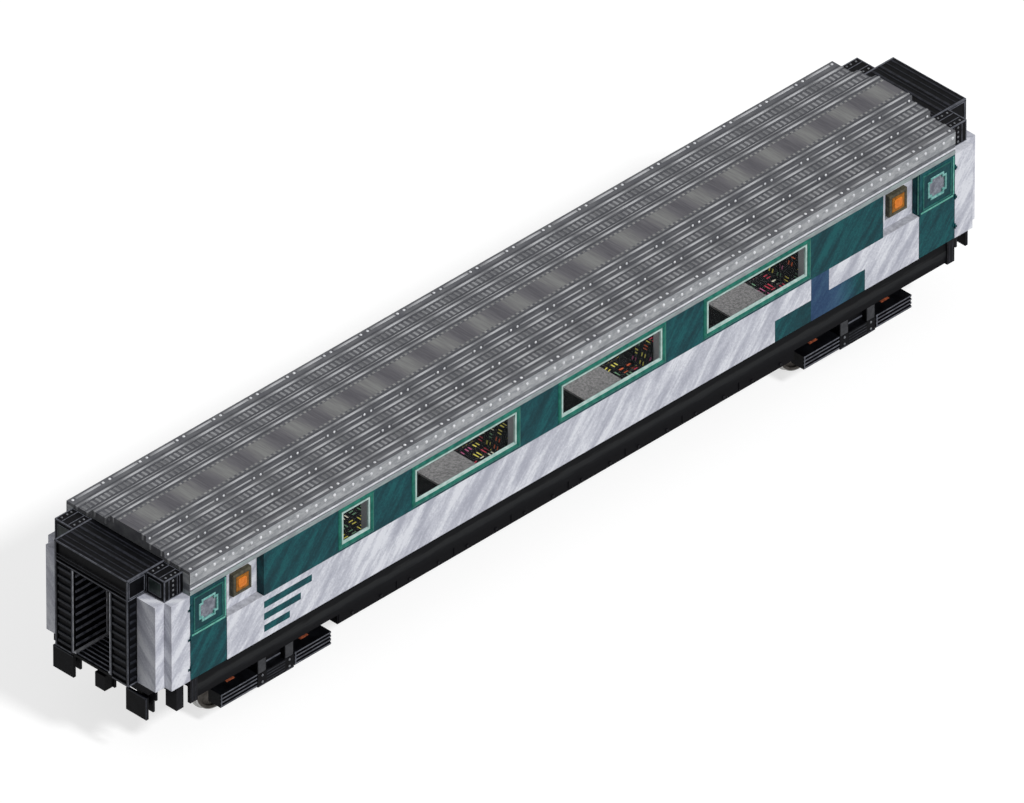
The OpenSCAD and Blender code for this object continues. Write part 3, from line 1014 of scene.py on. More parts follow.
@dataclass(frozen=True)
class WheelSteel:
    """Wheel steel: bright tread and flange, dusty disc, by the distance from the axle."""

    x: float
    z: float
    tread: float

    def build(self) -> bpy.types.Material:
        """The steel as a material for one pair of wheels."""
        w = Weave("wheel_steel")
        x, _, z = w.axes()
        dx, dz = w.math("SUBTRACT", x, self.x), w.math("SUBTRACT", z, self.z)
        far = w.math("SQRT", w.math("ADD", w.math("MULTIPLY", dx, dx), w.math("MULTIPLY", dz, dz)))
        cloud = w.noise(w.here, 9.0, 4.0, 0.6)
        dusty = w.steps(cloud, [(0.35, srgb(70, 66, 62)), (0.65, srgb(98, 94, 90))])
        bright = w.ramp(far, self.tread - 0.02, self.tread - 0.005, 0.0, 1.0)
        colour = w.blend(bright, dusty, srgb(178, 178, 176))
        return w.surface(colour, w.ramp(bright, 0.0, 1.0, 0.6, 0.3), 0.6, bump=cloud, depth=0.001)


# Finish, material name, its two colours, roughness, cells of mottling a metre, metal and gloss
PLAIN_PAINTS = (
    ("frame_green", "frame_green", (40, 112, 97), (22, 86, 77), 0.4, 9, 0.0, 0.1),
    ("mint", "mint_paint", (108, 172, 156), (76, 144, 130), 0.4, 9, 0.0, 0.1),
    # mint: bright mint of the door rails, painted highlight at each door's foot and rearward side
    ("lining", "door_lining", (44, 104, 96), (26, 80, 76), 0.4, 9, 0.0, 0.1),
    ("pane_mint", "pane_mint", (130, 180, 175), (86, 144, 138), 0.4, 16, 0.0, 0.1),
    ("pale_mint", "pale_mint", (184, 204, 200), (152, 180, 174), 0.4, 9, 0.0, 0.1),
    ("stitch", "plate_rivets", (140, 140, 140), (112, 113, 114), 0.5, 8, 0.0, 0.1),
    # shadow: the roof's dark lines, painted shade
    ("shadow", "roof_seam", (80, 81, 85), (68, 69, 73), 0.6, 8, 0.0, 0.1),
    ("dot", "bright_rivets", (222, 223, 226), (190, 192, 196), 0.35, 8, 0.0, 0.1),
    ("moulding", "moulding", (206, 207, 213), (184, 186, 192), 0.4, 8, 0.0, 0.1),
    ("black", "black_iron", (11, 12, 15), (4, 4, 6), 0.5, 5, 0.0, 0.05),
    ("edge", "worn_edge", (98, 100, 108), (66, 68, 75), 0.45, 7, 0.0, 0.1),
    ("bright_edge", "bright_edge", (206, 208, 214), (160, 162, 170), 0.45, 9, 0.0, 0.1),
    ("stud", "dull_stud", (112, 114, 118), (88, 90, 94), 0.45, 9, 0.0, 0.1),
    ("slat", "louvre_slat", (40, 42, 49), (20, 22, 27), 0.5, 7, 0.0, 0.1),
    ("ledge", "ledge_grey", (176, 177, 184), (146, 147, 154), 0.5, 12, 0.0, 0.1),
    ("passage", "passage_slat", (132, 134, 144), (84, 86, 96), 0.5, 7, 0.0, 0.1),
    ("roof_rib", "gangway_roof_rib", (36, 38, 45), (18, 19, 24), 0.5, 7, 0.0, 0.1),
    ("under", "underframe_paint", (30, 30, 33), (18, 18, 21), 0.6, 4, 0.0, 0.06),
    ("post_grey", "post_grey", (62, 63, 66), (48, 49, 52), 0.55, 6, 0.0, 0.1),
    ("rust_orange", "orange_mark", (164, 84, 54), (104, 56, 40), 0.6, 22, 0.0, 0.1),
    ("door_glass", "door_glass", (134, 138, 148), (98, 101, 112), 0.2, 9, 0.0, 0.1),
    ("shoulder_glass", "shoulder_glass", (58, 68, 66), (38, 46, 45), 0.15, 6, 0.0, 0.1),
    ("partition", "partition_grey", (168, 168, 172), (150, 150, 155), 0.5, 5, 0.0, 0.1),
    ("lamp_frame", "lamp_frame", (86, 83, 69), (64, 61, 51), 0.5, 16, 0.0, 0.1),
    ("amber", "amber_ring", (158, 100, 26), (122, 74, 18), 0.3, 16, 0.0, 0.1),
    ("lens", "lamp_lens", (218, 126, 44), (198, 108, 32), 0.2, 16, 0.0, 0.1),
    ("axle", "axle_steel", (74, 72, 70), (52, 50, 48), 0.45, 8, 0.6, 0.1),
)


class Palette:
    """Every finish of the coach, built once."""

    def __init__(self, plan: Plan) -> None:
        """Builds the materials.

        Args:
            plan: the coach's plan.
        """
        for finish, name, colour, shade, rough, scale, metal, gloss in PLAIN_PAINTS:
            paint = PlainPaint(name, srgb(*colour), srgb(*shade), rough, scale, metal, gloss)
            setattr(self, finish, paint.build())
        self.livery = Livery(plan).build()
        self.white = EndPaint(plan).build()
        self.door = DoorPaint(plan).build()
        self.doorway = DoorwayPaint(plan).build()
        self.roof = RoofSheet(plan).build()
        self.line = BrightLine(plan, "roof_line", srgb(112, 113, 116), srgb(176, 177, 180)).build()
        self.rung = BrightLine(plan, "roof_rung", srgb(104, 105, 108), srgb(140, 141, 144)).build()
        self.cornice = CornicePaint(plan).build()
        self.skirt = SkirtPaint(plan).build()
        self.glass = Glass("glass", srgb(70, 76, 78), 0.95).build()
        self.carpet = Flecks("carpet").build()
        self.moquette = Flecks("moquette", 0.19).build()


# ---- sub-assemblies ----


@dataclass
class Roof:
    """Strips, rungs and rivets of the three roof tiers, and the riveted cornice."""

    plan: Plan
    palette: Palette
    # Tier tops as half width and height in bays over the deck
    tiers: tuple = ((0.5, 2.8125), (1.0, 2.6875), (1.6875, 2.5625))
    # Bright strips: distance from the middle, half width, tier
    strips: tuple = ((0.405, 0.023, 0), (0.61, 0.026, 1), (0.915, 0.023, 1), (1.11, 0.026, 2),
                     (1.41, 0.023, 2))
    # Dark lines of painted shade beside them
    shade_lines: tuple = ((0.345, 0.022, 0), (0.47, 0.02, 0), (0.67, 0.02, 1), (0.845, 0.02, 1),
                    (0.975, 0.018, 1), (1.04, 0.02, 2), (1.18, 0.02, 2), (1.345, 0.02, 2),
                    (1.475, 0.02, 2))
    # Ladders of cross bars: distance from the middle, half length, tier
    ladders: tuple = ((0.755, 0.068, 1), (1.265, 0.07, 2))
    rungs_a_bay: int = 8
    strip_proud: float = 0.012
    # Rivets and lines in bays: how far under a tier's top, and the roof's outer line
    riser_drop: float = 0.085
    outer_line: tuple = (1.585, 1.61, 1.635)
    rivet_spots: tuple = (0.09, 0.91)
    line_spots: tuple = (0.16, 0.84)
    # Heights in bays over the sides: the cornice's bead, lower lip, riveted band and rivets
    bead: tuple = (0.132, 0.172)
    lip: tuple = (0.035, 0.095)
    band: tuple = (0.27, 0.535)
    rivet_row: float = 0.43

    def _top(self, tier: int) -> float:
        """Height of a tier's top."""
        return self.plan.z(self.tiers[tier][1])

    def _long_bars(self, rows: tuple, proud: float) -> Shape:
        """Bars along the whole roof on both sides, one for each row."""
        p = self.plan
        blocks = [[-p.end, p.end, (y - half) * p.bay, (y + half) * p.bay,
                   self._top(t) - 0.01, self._top(t) + proud] for y, half, t in rows]
        return bars(blocks, 0.005).both(Axis.ACROSS)

    def _every(self, spots: np.ndarray) -> np.ndarray:
        """Places along the roof: each of the spots, in parts of a bay, in every bay."""
        return ((np.arange(BAYS)[:, None] + spots[None]).ravel() - BAYS / 2) * self.plan.bay

    def _rung_bars(self, y: float, half: float, tier: int, share: float, proud: float) -> Shape:
        """Cross bars of one ladder on both sides."""
        p = self.plan
        x = self._every((np.arange(self.rungs_a_bay) + 0.5) / self.rungs_a_bay)
        width = share * p.bay / self.rungs_a_bay / 2
        rows = np.stack([x - width, x + width, np.full_like(x, (y - half) * p.bay),
                         np.full_like(x, (y + half) * p.bay),
                         np.full_like(x, self._top(tier) - 0.01),
                         np.full_like(x, self._top(tier) + proud)], 1)
        return bars(rows, 0.006).both(Axis.ACROSS)

    def _end_ribs(self) -> Shape:
        """The bright strips turned down over the roof's ends."""
        p = self.plan
        rows = []
        for y, half, t in self.strips:
            low = p.cornice_top if t == 2 else self._top(t + 1)
            rows.append([p.end - 0.01, p.end + 0.012, (y - half) * p.bay, (y + half) * p.bay,
                         low, self._top(t) + self.strip_proud])
        return bars(rows, 0.005).both(Axis.ACROSS, Axis.ALONG)

    def _dots(self) -> Shape:
        """Pairs of bright rivets at each bay's edge: on the risers and near the roof's edge."""
        p = self.plan
        x = self._every(np.array(self.rivet_spots))
        shape = None
        for half, top in self.tiers[:2]:
            centres = np.stack([x, np.full_like(x, half * p.bay),
                                np.full_like(x, p.z(top - self.riser_drop))], 1)
            part = rivets(centres, Axis.ACROSS, 1, 0.026, 0.016)
            shape = part if shape is None else shape + part
        edge = np.stack([x, np.full_like(x, self.outer_line[1] * p.bay),
                         np.full_like(x, self._top(2))], 1)
        return (shape + rivets(edge, Axis.UP, 1, 0.028, 0.014)).both(Axis.ACROSS)

    def _riser_lines(self) -> Shape:
        """Thin bright bars low on each riser and near the roof's outer edge, between the rivets."""
        p = self.plan
        x0, x1 = [self._every(np.array([spot])) for spot in self.line_spots]
        shape = None
        for half, top in self.tiers[:2]:
            y, z = half * p.bay, p.z(top - self.riser_drop)
            faces = (y - 0.01, y + 0.008, z - 0.016, z + 0.016)
            rows = np.stack([x0, x1, *[np.full_like(x0, v) for v in faces]], 1)
            part = bars(rows, 0.004)
            shape = part if shape is None else shape + part
        top = self._top(2)
        rows = np.stack([x0, x1, *[np.full_like(x0, v) for v in
                                   (self.outer_line[0] * p.bay, self.outer_line[2] * p.bay,
                                    top - 0.01, top + 0.008)]], 1)
        return (shape + bars(rows, 0.004)).both(Axis.ACROSS)

    def _cornice(self) -> None:
        """Moulding, grooves and rivets of the cornice."""
        p, c = self.plan, self.palette
        y, low = p.skin, p.side_top
        bead, lip, band = [[-p.end, p.end, y - 0.02, y + proud, low + a * p.bay, low + b * p.bay]
                           for (a, b), proud in ((self.bead, 0.018), (self.lip, 0.010),
                                                 (self.band, 0.008))]
        publish("cornice_moulding", bars([bead], 0.012).both(Axis.ACROSS), c.moulding)
        lips = [lip, band]
        publish("cornice_bands", bars(lips, 0.005).both(Axis.ACROSS), c.cornice)
        x = self._every((2.5 + 4 * np.arange(4)) / 16)
        centres = np.stack([x, np.full_like(x, y + 0.008),
                            np.full_like(x, low + self.rivet_row * p.bay)], 1)
        publish("cornice_rivets", rivets(centres, Axis.ACROSS, 1, 0.033, 0.018).both(Axis.ACROSS),
                c.dot)

    def dress(self, frame: dict) -> None:
        """Builds every piece of the roof.
        """
        c = self.palette
        clothe(frame, c.roof, "roof")
        clothe(frame, c.cornice, "cornices")
        publish("roof_strips", self._long_bars(self.strips, self.strip_proud) + self._end_ribs(),
                c.line)
        # The dark lines are painted shade beside the bright strips
        publish("roof_seams", self._long_bars(self.shade_lines, 0.002), c.shadow)
        rungs = [self._rung_bars(y, half, t, 0.5, 0.010) for y, half, t in self.ladders]
        publish("roof_ladders", rungs[0] + rungs[1], c.rung)
        publish("roof_plate_rivets", self._rung_bars(0.28, 0.024, 0, 0.55, 0.010), c.stitch)
        publish("roof_rivets", self._dots(), c.dot)
        publish("roof_riser_lines", self._riser_lines(), c.line)
        self._cornice()


@dataclass
class Windows:
    """Green mouldings round the side windows."""

    plan: Plan
    palette: Palette
    windows: tuple = ((4, 1), (6, 3), (10, 3), (14, 3))
    margin: float = 0.104
    sill: float = 0.126
    head: float = 0.09
    width: float = 0.088
    proud: float = 0.02

    def _moulding(self, first: int, span: int) -> Shape:
        """Moulding of one window on the right side: half an ellipse in section, carried round."""
        p = self.plan
        x0, x1 = p.x(first) + self.margin, p.x(first + span) - self.margin
        z0, z1 = p.mid + self.sill, p.side_top - self.head
        outline = np.array([[x0, z0], [x1, z0], [x1, z1], [x0, z1]])
        turn = np.linspace(math.pi, 0, 7)
        arch = np.stack([self.width / 2 * (1 + np.cos(turn)), self.proud * np.sin(turn)], 1)
        foot = np.array([[self.width, -0.01], [0.0, -0.01]])
        return side_frame(outline, np.vstack([arch, foot]), p.skin)

    def dress(self, frame: dict) -> None:
        """Builds the mouldings and dresses frames and panes.
        """
        c = self.palette
        clothe(frame, c.pale_mint, "window_frames")
        clothe(frame, c.glass, "window_glass")
        shape = None
        for first, span in self.windows:
            part = self._moulding(first, span)
            shape = part if shape is None else shape + part
        publish("window_mouldings", shape.both(Axis.ACROSS), c.frame_green)


@dataclass
class Doors:
    """Mint lining, pane mouldings and rails of the four entrance doors; the rails' bright mint at the
    foot and rearward side is painted highlight.
    """

    plan: Plan
    palette: Palette
    pane: float = 0.4
    step: float = 0.066

    def _pane_outline(self, x: float, z: float) -> np.ndarray:
        """Outline of the pane about its centre: a square with a square notch at each corner."""
        h, s = self.pane / 2, self.pane / 2 - self.step
        quarter = [[h, -s], [h, s], [s, s], [s, h]]
        rows = (quarter + [[-b, a] for a, b in quarter] + [[-a, -b] for a, b in quarter]
                + [[b, -a] for a, b in quarter])
        keep = [rows[i] for i in range(len(rows)) if rows[i] != rows[i - 1]]
        return np.array(keep) + [x, z]

    def _lining(self) -> Shape:
        """Thin border of the upper half and the rail under it, for the rear right door."""
        p = self.plan
        x0, x1 = p.end - 0.9 * p.bay, p.end - 0.1 * p.bay
        z0, z1 = p.mid + 0.08, p.side_top - 0.08
        outline = np.array([[x0, z0], [x1, z0], [x1, z1], [x0, z1]])
        section = np.array([[0.0, -0.01], [0.0, 0.006], [0.006, 0.009], [0.024, 0.009],
                            [0.03, 0.006], [0.03, -0.01]])
        return side_frame(outline, section - [0.03, 0], p.skin)

    def _rails(self, corner: Corner) -> Shape:
        """Bright mint bars of one door: at the upper half's foot, its rearward side and the free edge;
        the first two are painted highlight along a bevel.
        """
        p = self.plan
        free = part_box(Corner.REAR_RIGHT.door)[0].x
        x0, x1 = p.end - 0.955 * p.bay, p.end - 0.045 * p.bay
        z0, z1 = p.mid + 0.022, p.side_top - 0.03
        # Painted highlight: the bright stile stands on the rearward side of every door, the same side for
        # all four
        stile = x1 if corner.value[0] > 0 else x0
        rows = [[x0, x1, p.skin - 0.01, p.skin + 0.009, z0, z0 + 0.034],
                [stile - 0.017, stile + 0.017, p.skin - 0.01, p.skin + 0.009, z0 + 0.038, z1],
                [free - 0.004, free + 0.006, p.skin - 0.052, p.skin - 0.022, z0, z1]]
        return bars(rows, 0.005).at_corner(corner)

    def _pane_moulding(self) -> Shape:
        """Moulding round the pane, for the rear right door."""
        p = self.plan
        outline = self._pane_outline(p.end - p.bay / 2, p.deck + 1.5 * p.bay)
        section = np.array([[-0.006, -0.02], [-0.006, 0.008], [0.004, 0.014], [0.026, 0.014],
                            [0.034, 0.006], [0.034, -0.02]])
        return side_frame(outline, section, p.skin)

    def dress(self, frame: dict) -> None:
        """Builds the pieces of each door and dresses its leaf and pane.
        """
        c = self.palette
        for corner in Corner:
            clothe(frame, c.door, corner.door)
            clothe(frame, c.door_glass, corner.door + "_glass")
            publish(corner.door + "_lining", self._lining().at_corner(corner), c.lining,
                    corner.door)
            publish(corner.door + "_rails", self._rails(corner), c.mint, corner.door)
            publish(corner.door + "_pane_moulding", self._pane_moulding().at_corner(corner),
                    c.pane_mint, corner.door)


@dataclass
class SideLamps:
    """Orange lamps in the recesses beside the doors."""

    plan: Plan
    palette: Palette
    size: float = 0.45
    bay: float = 1.5

    def dress(self, frame: dict) -> None:
        """Builds rings and lenses and dresses the housings.
        """
        p, c = self.plan, self.palette
        low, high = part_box("side_lamps")
        lens_low, lens_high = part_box("lamp_lenses")
        clothe(frame, c.lamp_frame, "side_lamps")
        clothe(frame, c.amber, "lamp_lenses")
        x, z, h = p.end - self.bay * p.bay, (low.z + high.z) / 2, self.size / 2
        square = np.array([[x - h, z - h], [x + h, z - h], [x + h, z + h], [x - h, z + h]])
        section = np.array([[-0.058, -0.004], [-0.058, 0.008], [-0.045, 0.014], [-0.012, 0.014],
                            [0.0, 0.0], [-0.002, -0.004]])
        rim = side_frame(square, section, high.y)
        publish("lamp_rims", rim.both(Axis.ACROSS, Axis.ALONG), c.lamp_frame)
        r = 0.10
        eye = pillow([x - r, lens_high.y - 0.012, z - r], [x + r, lens_high.y + 0.014, z + r],
                     9, 4.0)
        publish("lamp_eyes", eye.both(Axis.ACROSS, Axis.ALONG), c.lens, smooth=True)
        ledge = [[p.end - 2 * p.bay + 0.01, p.end - p.bay - 0.012, p.core, p.skin - 0.006,
                  p.mid - 0.004, p.mid + 0.012]]
        publish("lamp_ledges", bars(ledge, 0.004).both(Axis.ACROSS, Axis.ALONG), c.ledge)


@dataclass
class Gangways:
    """Louvres, edges and ribs of the black gangway portals and shoulder boxes."""

    plan: Plan
    palette: Palette
    slats: int = 10
    jamb: float = 0.45

    def _louvres(self, low: float, high: float) -> list[tuple[float, float]]:
        """Low and high edge of each slat between two heights."""
        pitch = (high - low) / self.slats
        return [(low + (i + 0.3) * pitch, low + (i + 0.62) * pitch) for i in range(self.slats)]

    def _slat_shape(self, face: float) -> Shape:
        """Louvre slats for the rear end's right half: on, beside and inside the portal's leg."""
        p = self.plan
        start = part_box("end_walls")[1].x + 0.03
        rows = []
        for z0, z1 in self._louvres(p.deck + 0.06, p.z(2.0) - 0.02):
            rows += [[face - 0.03, face - 0.004, self.jamb + 0.06, p.bay - 0.06, z0, z1],
                     [start, face - 0.04, p.bay - 0.005, p.bay + 0.012, z0, z1]]
        return bars(rows, 0.004)

    def _passage_shape(self, face: float) -> Shape:
        """Louvre slats on the passage's side, for the rear end's right half."""
        p = self.plan
        rows = [[p.end + 0.12, face - 0.06, self.jamb - 0.014, self.jamb + 0.005, z0, z1]
                for z0, z1 in self._louvres(p.deck + 0.12, p.z(2.0) - 0.06)]
        return bars(rows, 0.004)

    def _edge_shape(self, face: float, top: float) -> Shape:
        """Worn edges for the rear end's right half."""
        p, j, head = self.plan, self.jamb, self.plan.z(2.0)
        y, back, e = p.bay, p.end, 0.012
        wall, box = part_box("end_walls")[1].x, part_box("shoulder_boxes")[1].x
        rows = [[face - e, face + 0.004, y - 0.032, y + 0.004, p.deck, top],
                [face - e, face + 0.004, 0.0, y, top - 0.032, top + 0.004],
                [face - e, face + 0.004, j + 0.02, j + 0.045, p.deck + 0.05, head],
                [face - e, face + 0.004, 0.0, y - 0.03, head + 0.012, head + 0.038],
                [face - e, face + 0.004, j + 0.05, y - 0.03, p.deck + 0.01, p.deck + 0.036],
                [back, face, y - 0.03, y + 0.004, top - 0.03, top + 0.004],
                [box, face, y - 0.01, y + 0.004, head + 0.01, head + 0.035],
                [wall, face, y - 0.01, y + 0.004, p.deck, p.deck + 0.03]]
        return bars(rows, 0.004)

    def _bright_shape(self, face: float, top: float) -> Shape:
        """Worn edges for the rear end's right half: the jamb, the passage's foot and back corner."""
        p, j, head = self.plan, self.jamb, self.plan.z(2.0)
        rows = [[face - 0.012, face + 0.004, j - 0.004, j + 0.016, p.deck + 0.05, head],
                [p.end, face - 0.01, j - 0.05, j + 0.005, p.deck + 0.045, p.deck + 0.085],
                [p.end + 0.06, p.end + 0.1, j - 0.016, j + 0.005, p.deck + 0.05, head]]
        return bars(rows, 0.003)

    def _header_shape(self, face: float, top: float) -> Shape:
        """Frame of the panel on the header's outer side, for the rear end's right half."""
        p, low = self.plan, self.plan.z(2.0) + 0.05
        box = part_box("shoulder_boxes")[1].x
        y0, y1, x0, x1, high = p.bay - 0.01, p.bay + 0.006, box + 0.03, face - 0.025, top - 0.04
        rows = [[x1 - 0.022, x1, y0, y1, low, high], [x0, x0 + 0.022, y0, y1, low, high],
                [x0, x1, y0, y1, low, low + 0.022], [x0, x1, y0, y1, high - 0.022, high]]
        return bars(rows, 0.003)

    def _floor_rows(self, face: float) -> list[list[float]]:
        """Ribs across the passage's floor, right half."""
        count = 9
        x = self.plan.end + (np.arange(count) + 0.5) * (face - self.plan.end) / count
        z = self.plan.deck + 0.05
        return [[v - 0.014, v + 0.014, 0.0, self.jamb - 0.03, z - 0.006, z + 0.008] for v in x]

    def dress(self, frame: dict) -> None:
        """Builds the gangways' pieces and dresses the portals.
        """
        c = self.palette
        low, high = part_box("rear_gangway")
        face, top = high.x, high.z
        clothe(frame, c.black, "front_gangway", "rear_gangway", "shoulder_boxes")
        clothe(frame, c.shoulder_glass, "shoulder_lights")
        ends = (Axis.ACROSS, Axis.ALONG)
        publish("gangway_slats", self._slat_shape(face).both(*ends), c.slat)
        publish("passage_slats", self._passage_shape(face).both(*ends), c.passage)
        publish("gangway_header_frames", self._header_shape(face, top).both(*ends), c.edge)
        publish("gangway_edges", self._edge_shape(face, top).both(*ends), c.edge)
        publish("gangway_bright_edges", self._bright_shape(face, top).both(*ends), c.bright_edge)
        publish("passage_floor_ribs", bars(self._floor_rows(face), 0.004).both(*ends), c.passage)
        self._roof_ribs(face, top)
        self._shoulders()

    def _roof_ribs(self, face: float, top: float) -> None:
        """Ribs across each portal's roof, in uneven pairs, as place, half width and height."""
        p, depth = self.plan, face - self.plan.end
        ribs = ((0.12, 0.016, 0.008), (0.2, 0.01, 0.004), (0.36, 0.03, 0.008), (0.5, 0.012, 0.005),
                (0.6, 0.03, 0.008), (0.76, 0.012, 0.006), (0.9, 0.02, 0.006))
        rows = [[p.end + a * depth - w, p.end + a * depth + w, 0.0, p.bay - 0.045,
                 top - 0.005, top + h] for a, w, h in ribs]
        head = p.z(2.0)
        rows += [[face - 0.01, face + 0.004, 0.0, p.bay - 0.045, head + a, head + a + 0.022]
                 for a in (0.1, 0.17)]
        publish("gangway_roof_ribs", bars(rows, 0.004).both(Axis.ACROSS, Axis.ALONG),
                self.palette.roof_rib)

    def _shoulders(self) -> None:
        """Worn edges and studs of the shoulder boxes."""
        p, c = self.plan, self.palette
        low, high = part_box("shoulder_boxes")
        x0, x1, y0, y1, z0, z1 = p.end, high.x, p.bay, high.y, low.z, high.z
        e = 0.02
        rows = [[x1 - e, x1 + 0.004, y1 - e, y1 + 0.004, z0, z1],
                [x1 - e, x1 + 0.004, y0, y1, z1 - e, z1 + 0.004],
                [x0, x1, y1 - e, y1 + 0.004, z1 - e, z1 + 0.004],
                [x1 - e, x1 + 0.004, y0, y1, z0, z0 + e],
                [x0, x1, y1 - e, y1 + 0.004, z0, z0 + e], [x1 - e, x1 + 0.004, y0, y0 + e, z0, z1],
                [x0 + 0.02, x1 - 0.03, y0 + 0.14, y0 + 0.155, z1 - 0.005, z1 + 0.005],
                [x0 + 0.02, x1 - 0.03, y1 - 0.155, y1 - 0.14, z1 - 0.005, z1 + 0.005],
                [x0 + 0.02, x0 + 0.035, y0 + 0.03, y1 - 0.03, z1 - 0.005, z1 + 0.005]]
        rows += [[v, v + 0.016, y1 - 0.01, y1 + 0.006, z0 + 0.03, z1 - 0.03]
                 for v in (x0 + 0.07, x0 + 0.13, x1 - 0.12)]
        publish("shoulder_edges", bars(rows, 0.003).both(Axis.ACROSS, Axis.ALONG), c.edge)
        lamp_low, lamp_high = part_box("shoulder_lights")
        ring = 0.014
        y2, y3, z2, z3 = y0 + 0.07, y1 - 0.07, lamp_low.z, lamp_high.z
        frame_rows = [[x1, lamp_high.x + 0.006, y2, y2 + ring, z2, z3],
                      [x1, lamp_high.x + 0.006, y3 - ring, y3, z2, z3],
                      [x1, lamp_high.x + 0.006, y2, y3, z2, z2 + ring],
                      [x1, lamp_high.x + 0.006, y2, y3, z3 - ring, z3]]
        publish("shoulder_light_rims", bars(frame_rows, 0.003).both(Axis.ACROSS, Axis.ALONG),
                c.edge)
        tops = [[x, y, z1] for x in (x0 + 0.12, x0 + 0.22, x1 - 0.1)
                for y in (y0 + 0.07, y1 - 0.07)]
        publish("shoulder_studs",
                rivets(np.array(tops), Axis.UP, 1, 0.022, 0.014).both(Axis.ACROSS, Axis.ALONG), c.stud)
        sides = np.array([[x0 + 0.24, y1, z] for z in np.linspace(z0 + 0.07, z1 - 0.07, 4)])
        publish("shoulder_side_studs",
                rivets(sides, Axis.ACROSS, 1, 0.024, 0.012).both(Axis.ACROSS, Axis.ALONG), c.stud)


@dataclass
class Underside:
    """Skirts, cases, headstocks, buffers and couplers."""

    plan: Plan
    palette: Palette
    case_doors: int = 8

    def _case_panels(self) -> Shape:
        """Doors on the outer faces of the underfloor cases, right side."""
        low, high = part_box("underfloor_cases")
        pitch = (high.x - low.x) / self.case_doors
        rows = [[low.x + i * pitch + 0.03, low.x + (i + 1) * pitch - 0.03,
                 high.y - 0.005, high.y + 0.012, low.z + 0.03, high.z - 0.32]
                for i in range(self.case_doors)]
        return bars(rows, 0.006)

    def _case_latches(self) -> Shape:
        """Two latches on each case door, right side."""
        low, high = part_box("underfloor_cases")
        pitch = (high.x - low.x) / self.case_doors
        rows = [[x - 0.03, x + 0.03, high.y + 0.01, high.y + 0.03, low.z + 0.06, low.z + 0.11]
                for i in range(self.case_doors)
                for x in (low.x + (i + 0.25) * pitch, low.x + (i + 0.75) * pitch)]
        return bars(rows, 0.005)

    def dress(self, frame: dict) -> None:
        """Builds the pieces under the coach and dresses its nodes.
        """
        p, c = self.plan, self.palette
        clothe(frame, c.under, "underframe", "bolsters", "headstocks")
        clothe(frame, c.skirt, "skirts", "underfloor_cases")
        clothe(frame, c.black, "buffers", "couplers")
        publish("case_doors", self._case_panels().both(Axis.ACROSS), c.skirt)
        publish("case_latches", self._case_latches().both(Axis.ACROSS), c.under)
        posts = [[p.end - a - 0.016, p.end - a, p.skin - 0.004, p.skin + 0.004,
                  p.deck - 0.47, p.deck - 0.02] for a in (0.045, 0.12)]
        publish("post_lines", bars(posts, 0.003).both(Axis.ACROSS, Axis.ALONG), c.slat)
        low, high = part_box("buffers")
        edge = [[high.x - 0.02, high.x + 0.004, high.y - 0.025, high.y + 0.003, low.z, high.z],
                [high.x - 0.02, high.x + 0.004, high.y - 0.5, high.y, high.z - 0.025,
                 high.z + 0.003]]
        publish("buffer_edges", bars(edge, 0.003).both(Axis.ACROSS, Axis.ALONG), c.slat)


@dataclass
class Bogie:
    """Bolts, marks, worn ribs and edges of one bogie, from its pivot and its axles' height."""

    plan: Plan
    palette: Palette
    end: str
    box_span: tuple = (0.45, 1.35)
    rib_pitch: float = 0.0773
    ribs: int = 4
    post_span: tuple = (0.225, 0.44)

    def dress(self, frame: dict) -> None:
        """Builds the bogie's pieces and dresses its nodes.
        """
        c, body = self.palette, self.end + "_bogie"
        clothe(frame, c.black, body + "_frame", body + "_boxes")
        low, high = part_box(body + "_boxes")
        middle, out, axle = (low.x + high.x) / 2, high.y, self.plan.axle
        near, far = self.box_span
        ribs, edges = [], []
        for s in (-1, 1):
            x0, x1 = sorted((middle + s * (near + 0.01), middle + s * far))
            for i in range(self.ribs):
                z = axle - 0.077 + i * self.rib_pitch
                ribs.append([x0, x1, out - 0.004, out + 0.004, z + 0.010, z + 0.034])
            top = axle - 0.077 + self.ribs * self.rib_pitch - 0.035
            edges += [[x0 + 0.008, x0 + 0.034, out - 0.004, out + 0.006, axle - 0.07, top],
                      [x0, x1, out - 0.30, out - 0.285, top - 0.01, top + 0.012]]
        publish(body + "_rib_edges", bars(ribs, 0.002).both(Axis.ACROSS), c.edge, body)
        publish(body + "_box_edges", bars(edges, 0.002).both(Axis.ACROSS), c.edge, body)
        self._posts(body, middle, out)
        marks = [[middle + s * 0.9 - 0.1, middle + s * 0.9 + 0.1, out - 0.28, out - 0.2,
                  axle + 0.19, axle + 0.204] for s in (-1, 1)]
        publish(body + "_marks", bars(marks, 0.003).both(Axis.ACROSS), c.rust_orange, body)

    def _posts(self, body: str, middle: float, out: float) -> None:
        """Grey plates and bolts on the posts, and the light bars between them."""
        c, axle = self.palette, self.plan.axle
        a, b = self.post_span
        plates, lines, bolts = [], [], []
        for s in (-1, 1):
            x0, x1 = sorted((middle + s * (a + 0.015), middle + s * (b - 0.015)))
            plates.append([x0, x1, out - 0.016, out - 0.004, axle + 0.17, axle + 0.445])
            lines += [[x0, x1, out - 0.004, out + 0.004, axle - 0.095, axle - 0.07]]
            bolts += [[middle + s * 0.33, out, axle + z] for z in (-0.03, 0.11)]
        publish(body + "_post_plates", bars(plates, 0.004).both(Axis.ACROSS), c.post_grey, body)
        publish(body + "_post_slots", bars(lines, 0.003).both(Axis.ACROSS), c.slat, body)
        publish(body + "_bolts",
                rivets(np.array(bolts), Axis.ACROSS, 1, 0.026, 0.014).both(Axis.ACROSS), c.stud, body)
        wide = [[middle - a + 0.01, middle + a - 0.01, out - 0.115, out - 0.1,
                 axle + 0.24, axle + 0.27]]
        publish(body + "_spring_bars", bars(wide, 0.004).both(Axis.ACROSS), c.edge, body)
        low_lines = [[middle - a, middle + a, out - 0.004, out + 0.004, axle + z, axle + z + 0.02]
                     for z in (-0.06, 0.0, 0.06, 0.12)]
        publish(body + "_middle_ribs", bars(low_lines, 0.002).both(Axis.ACROSS), c.slat, body)


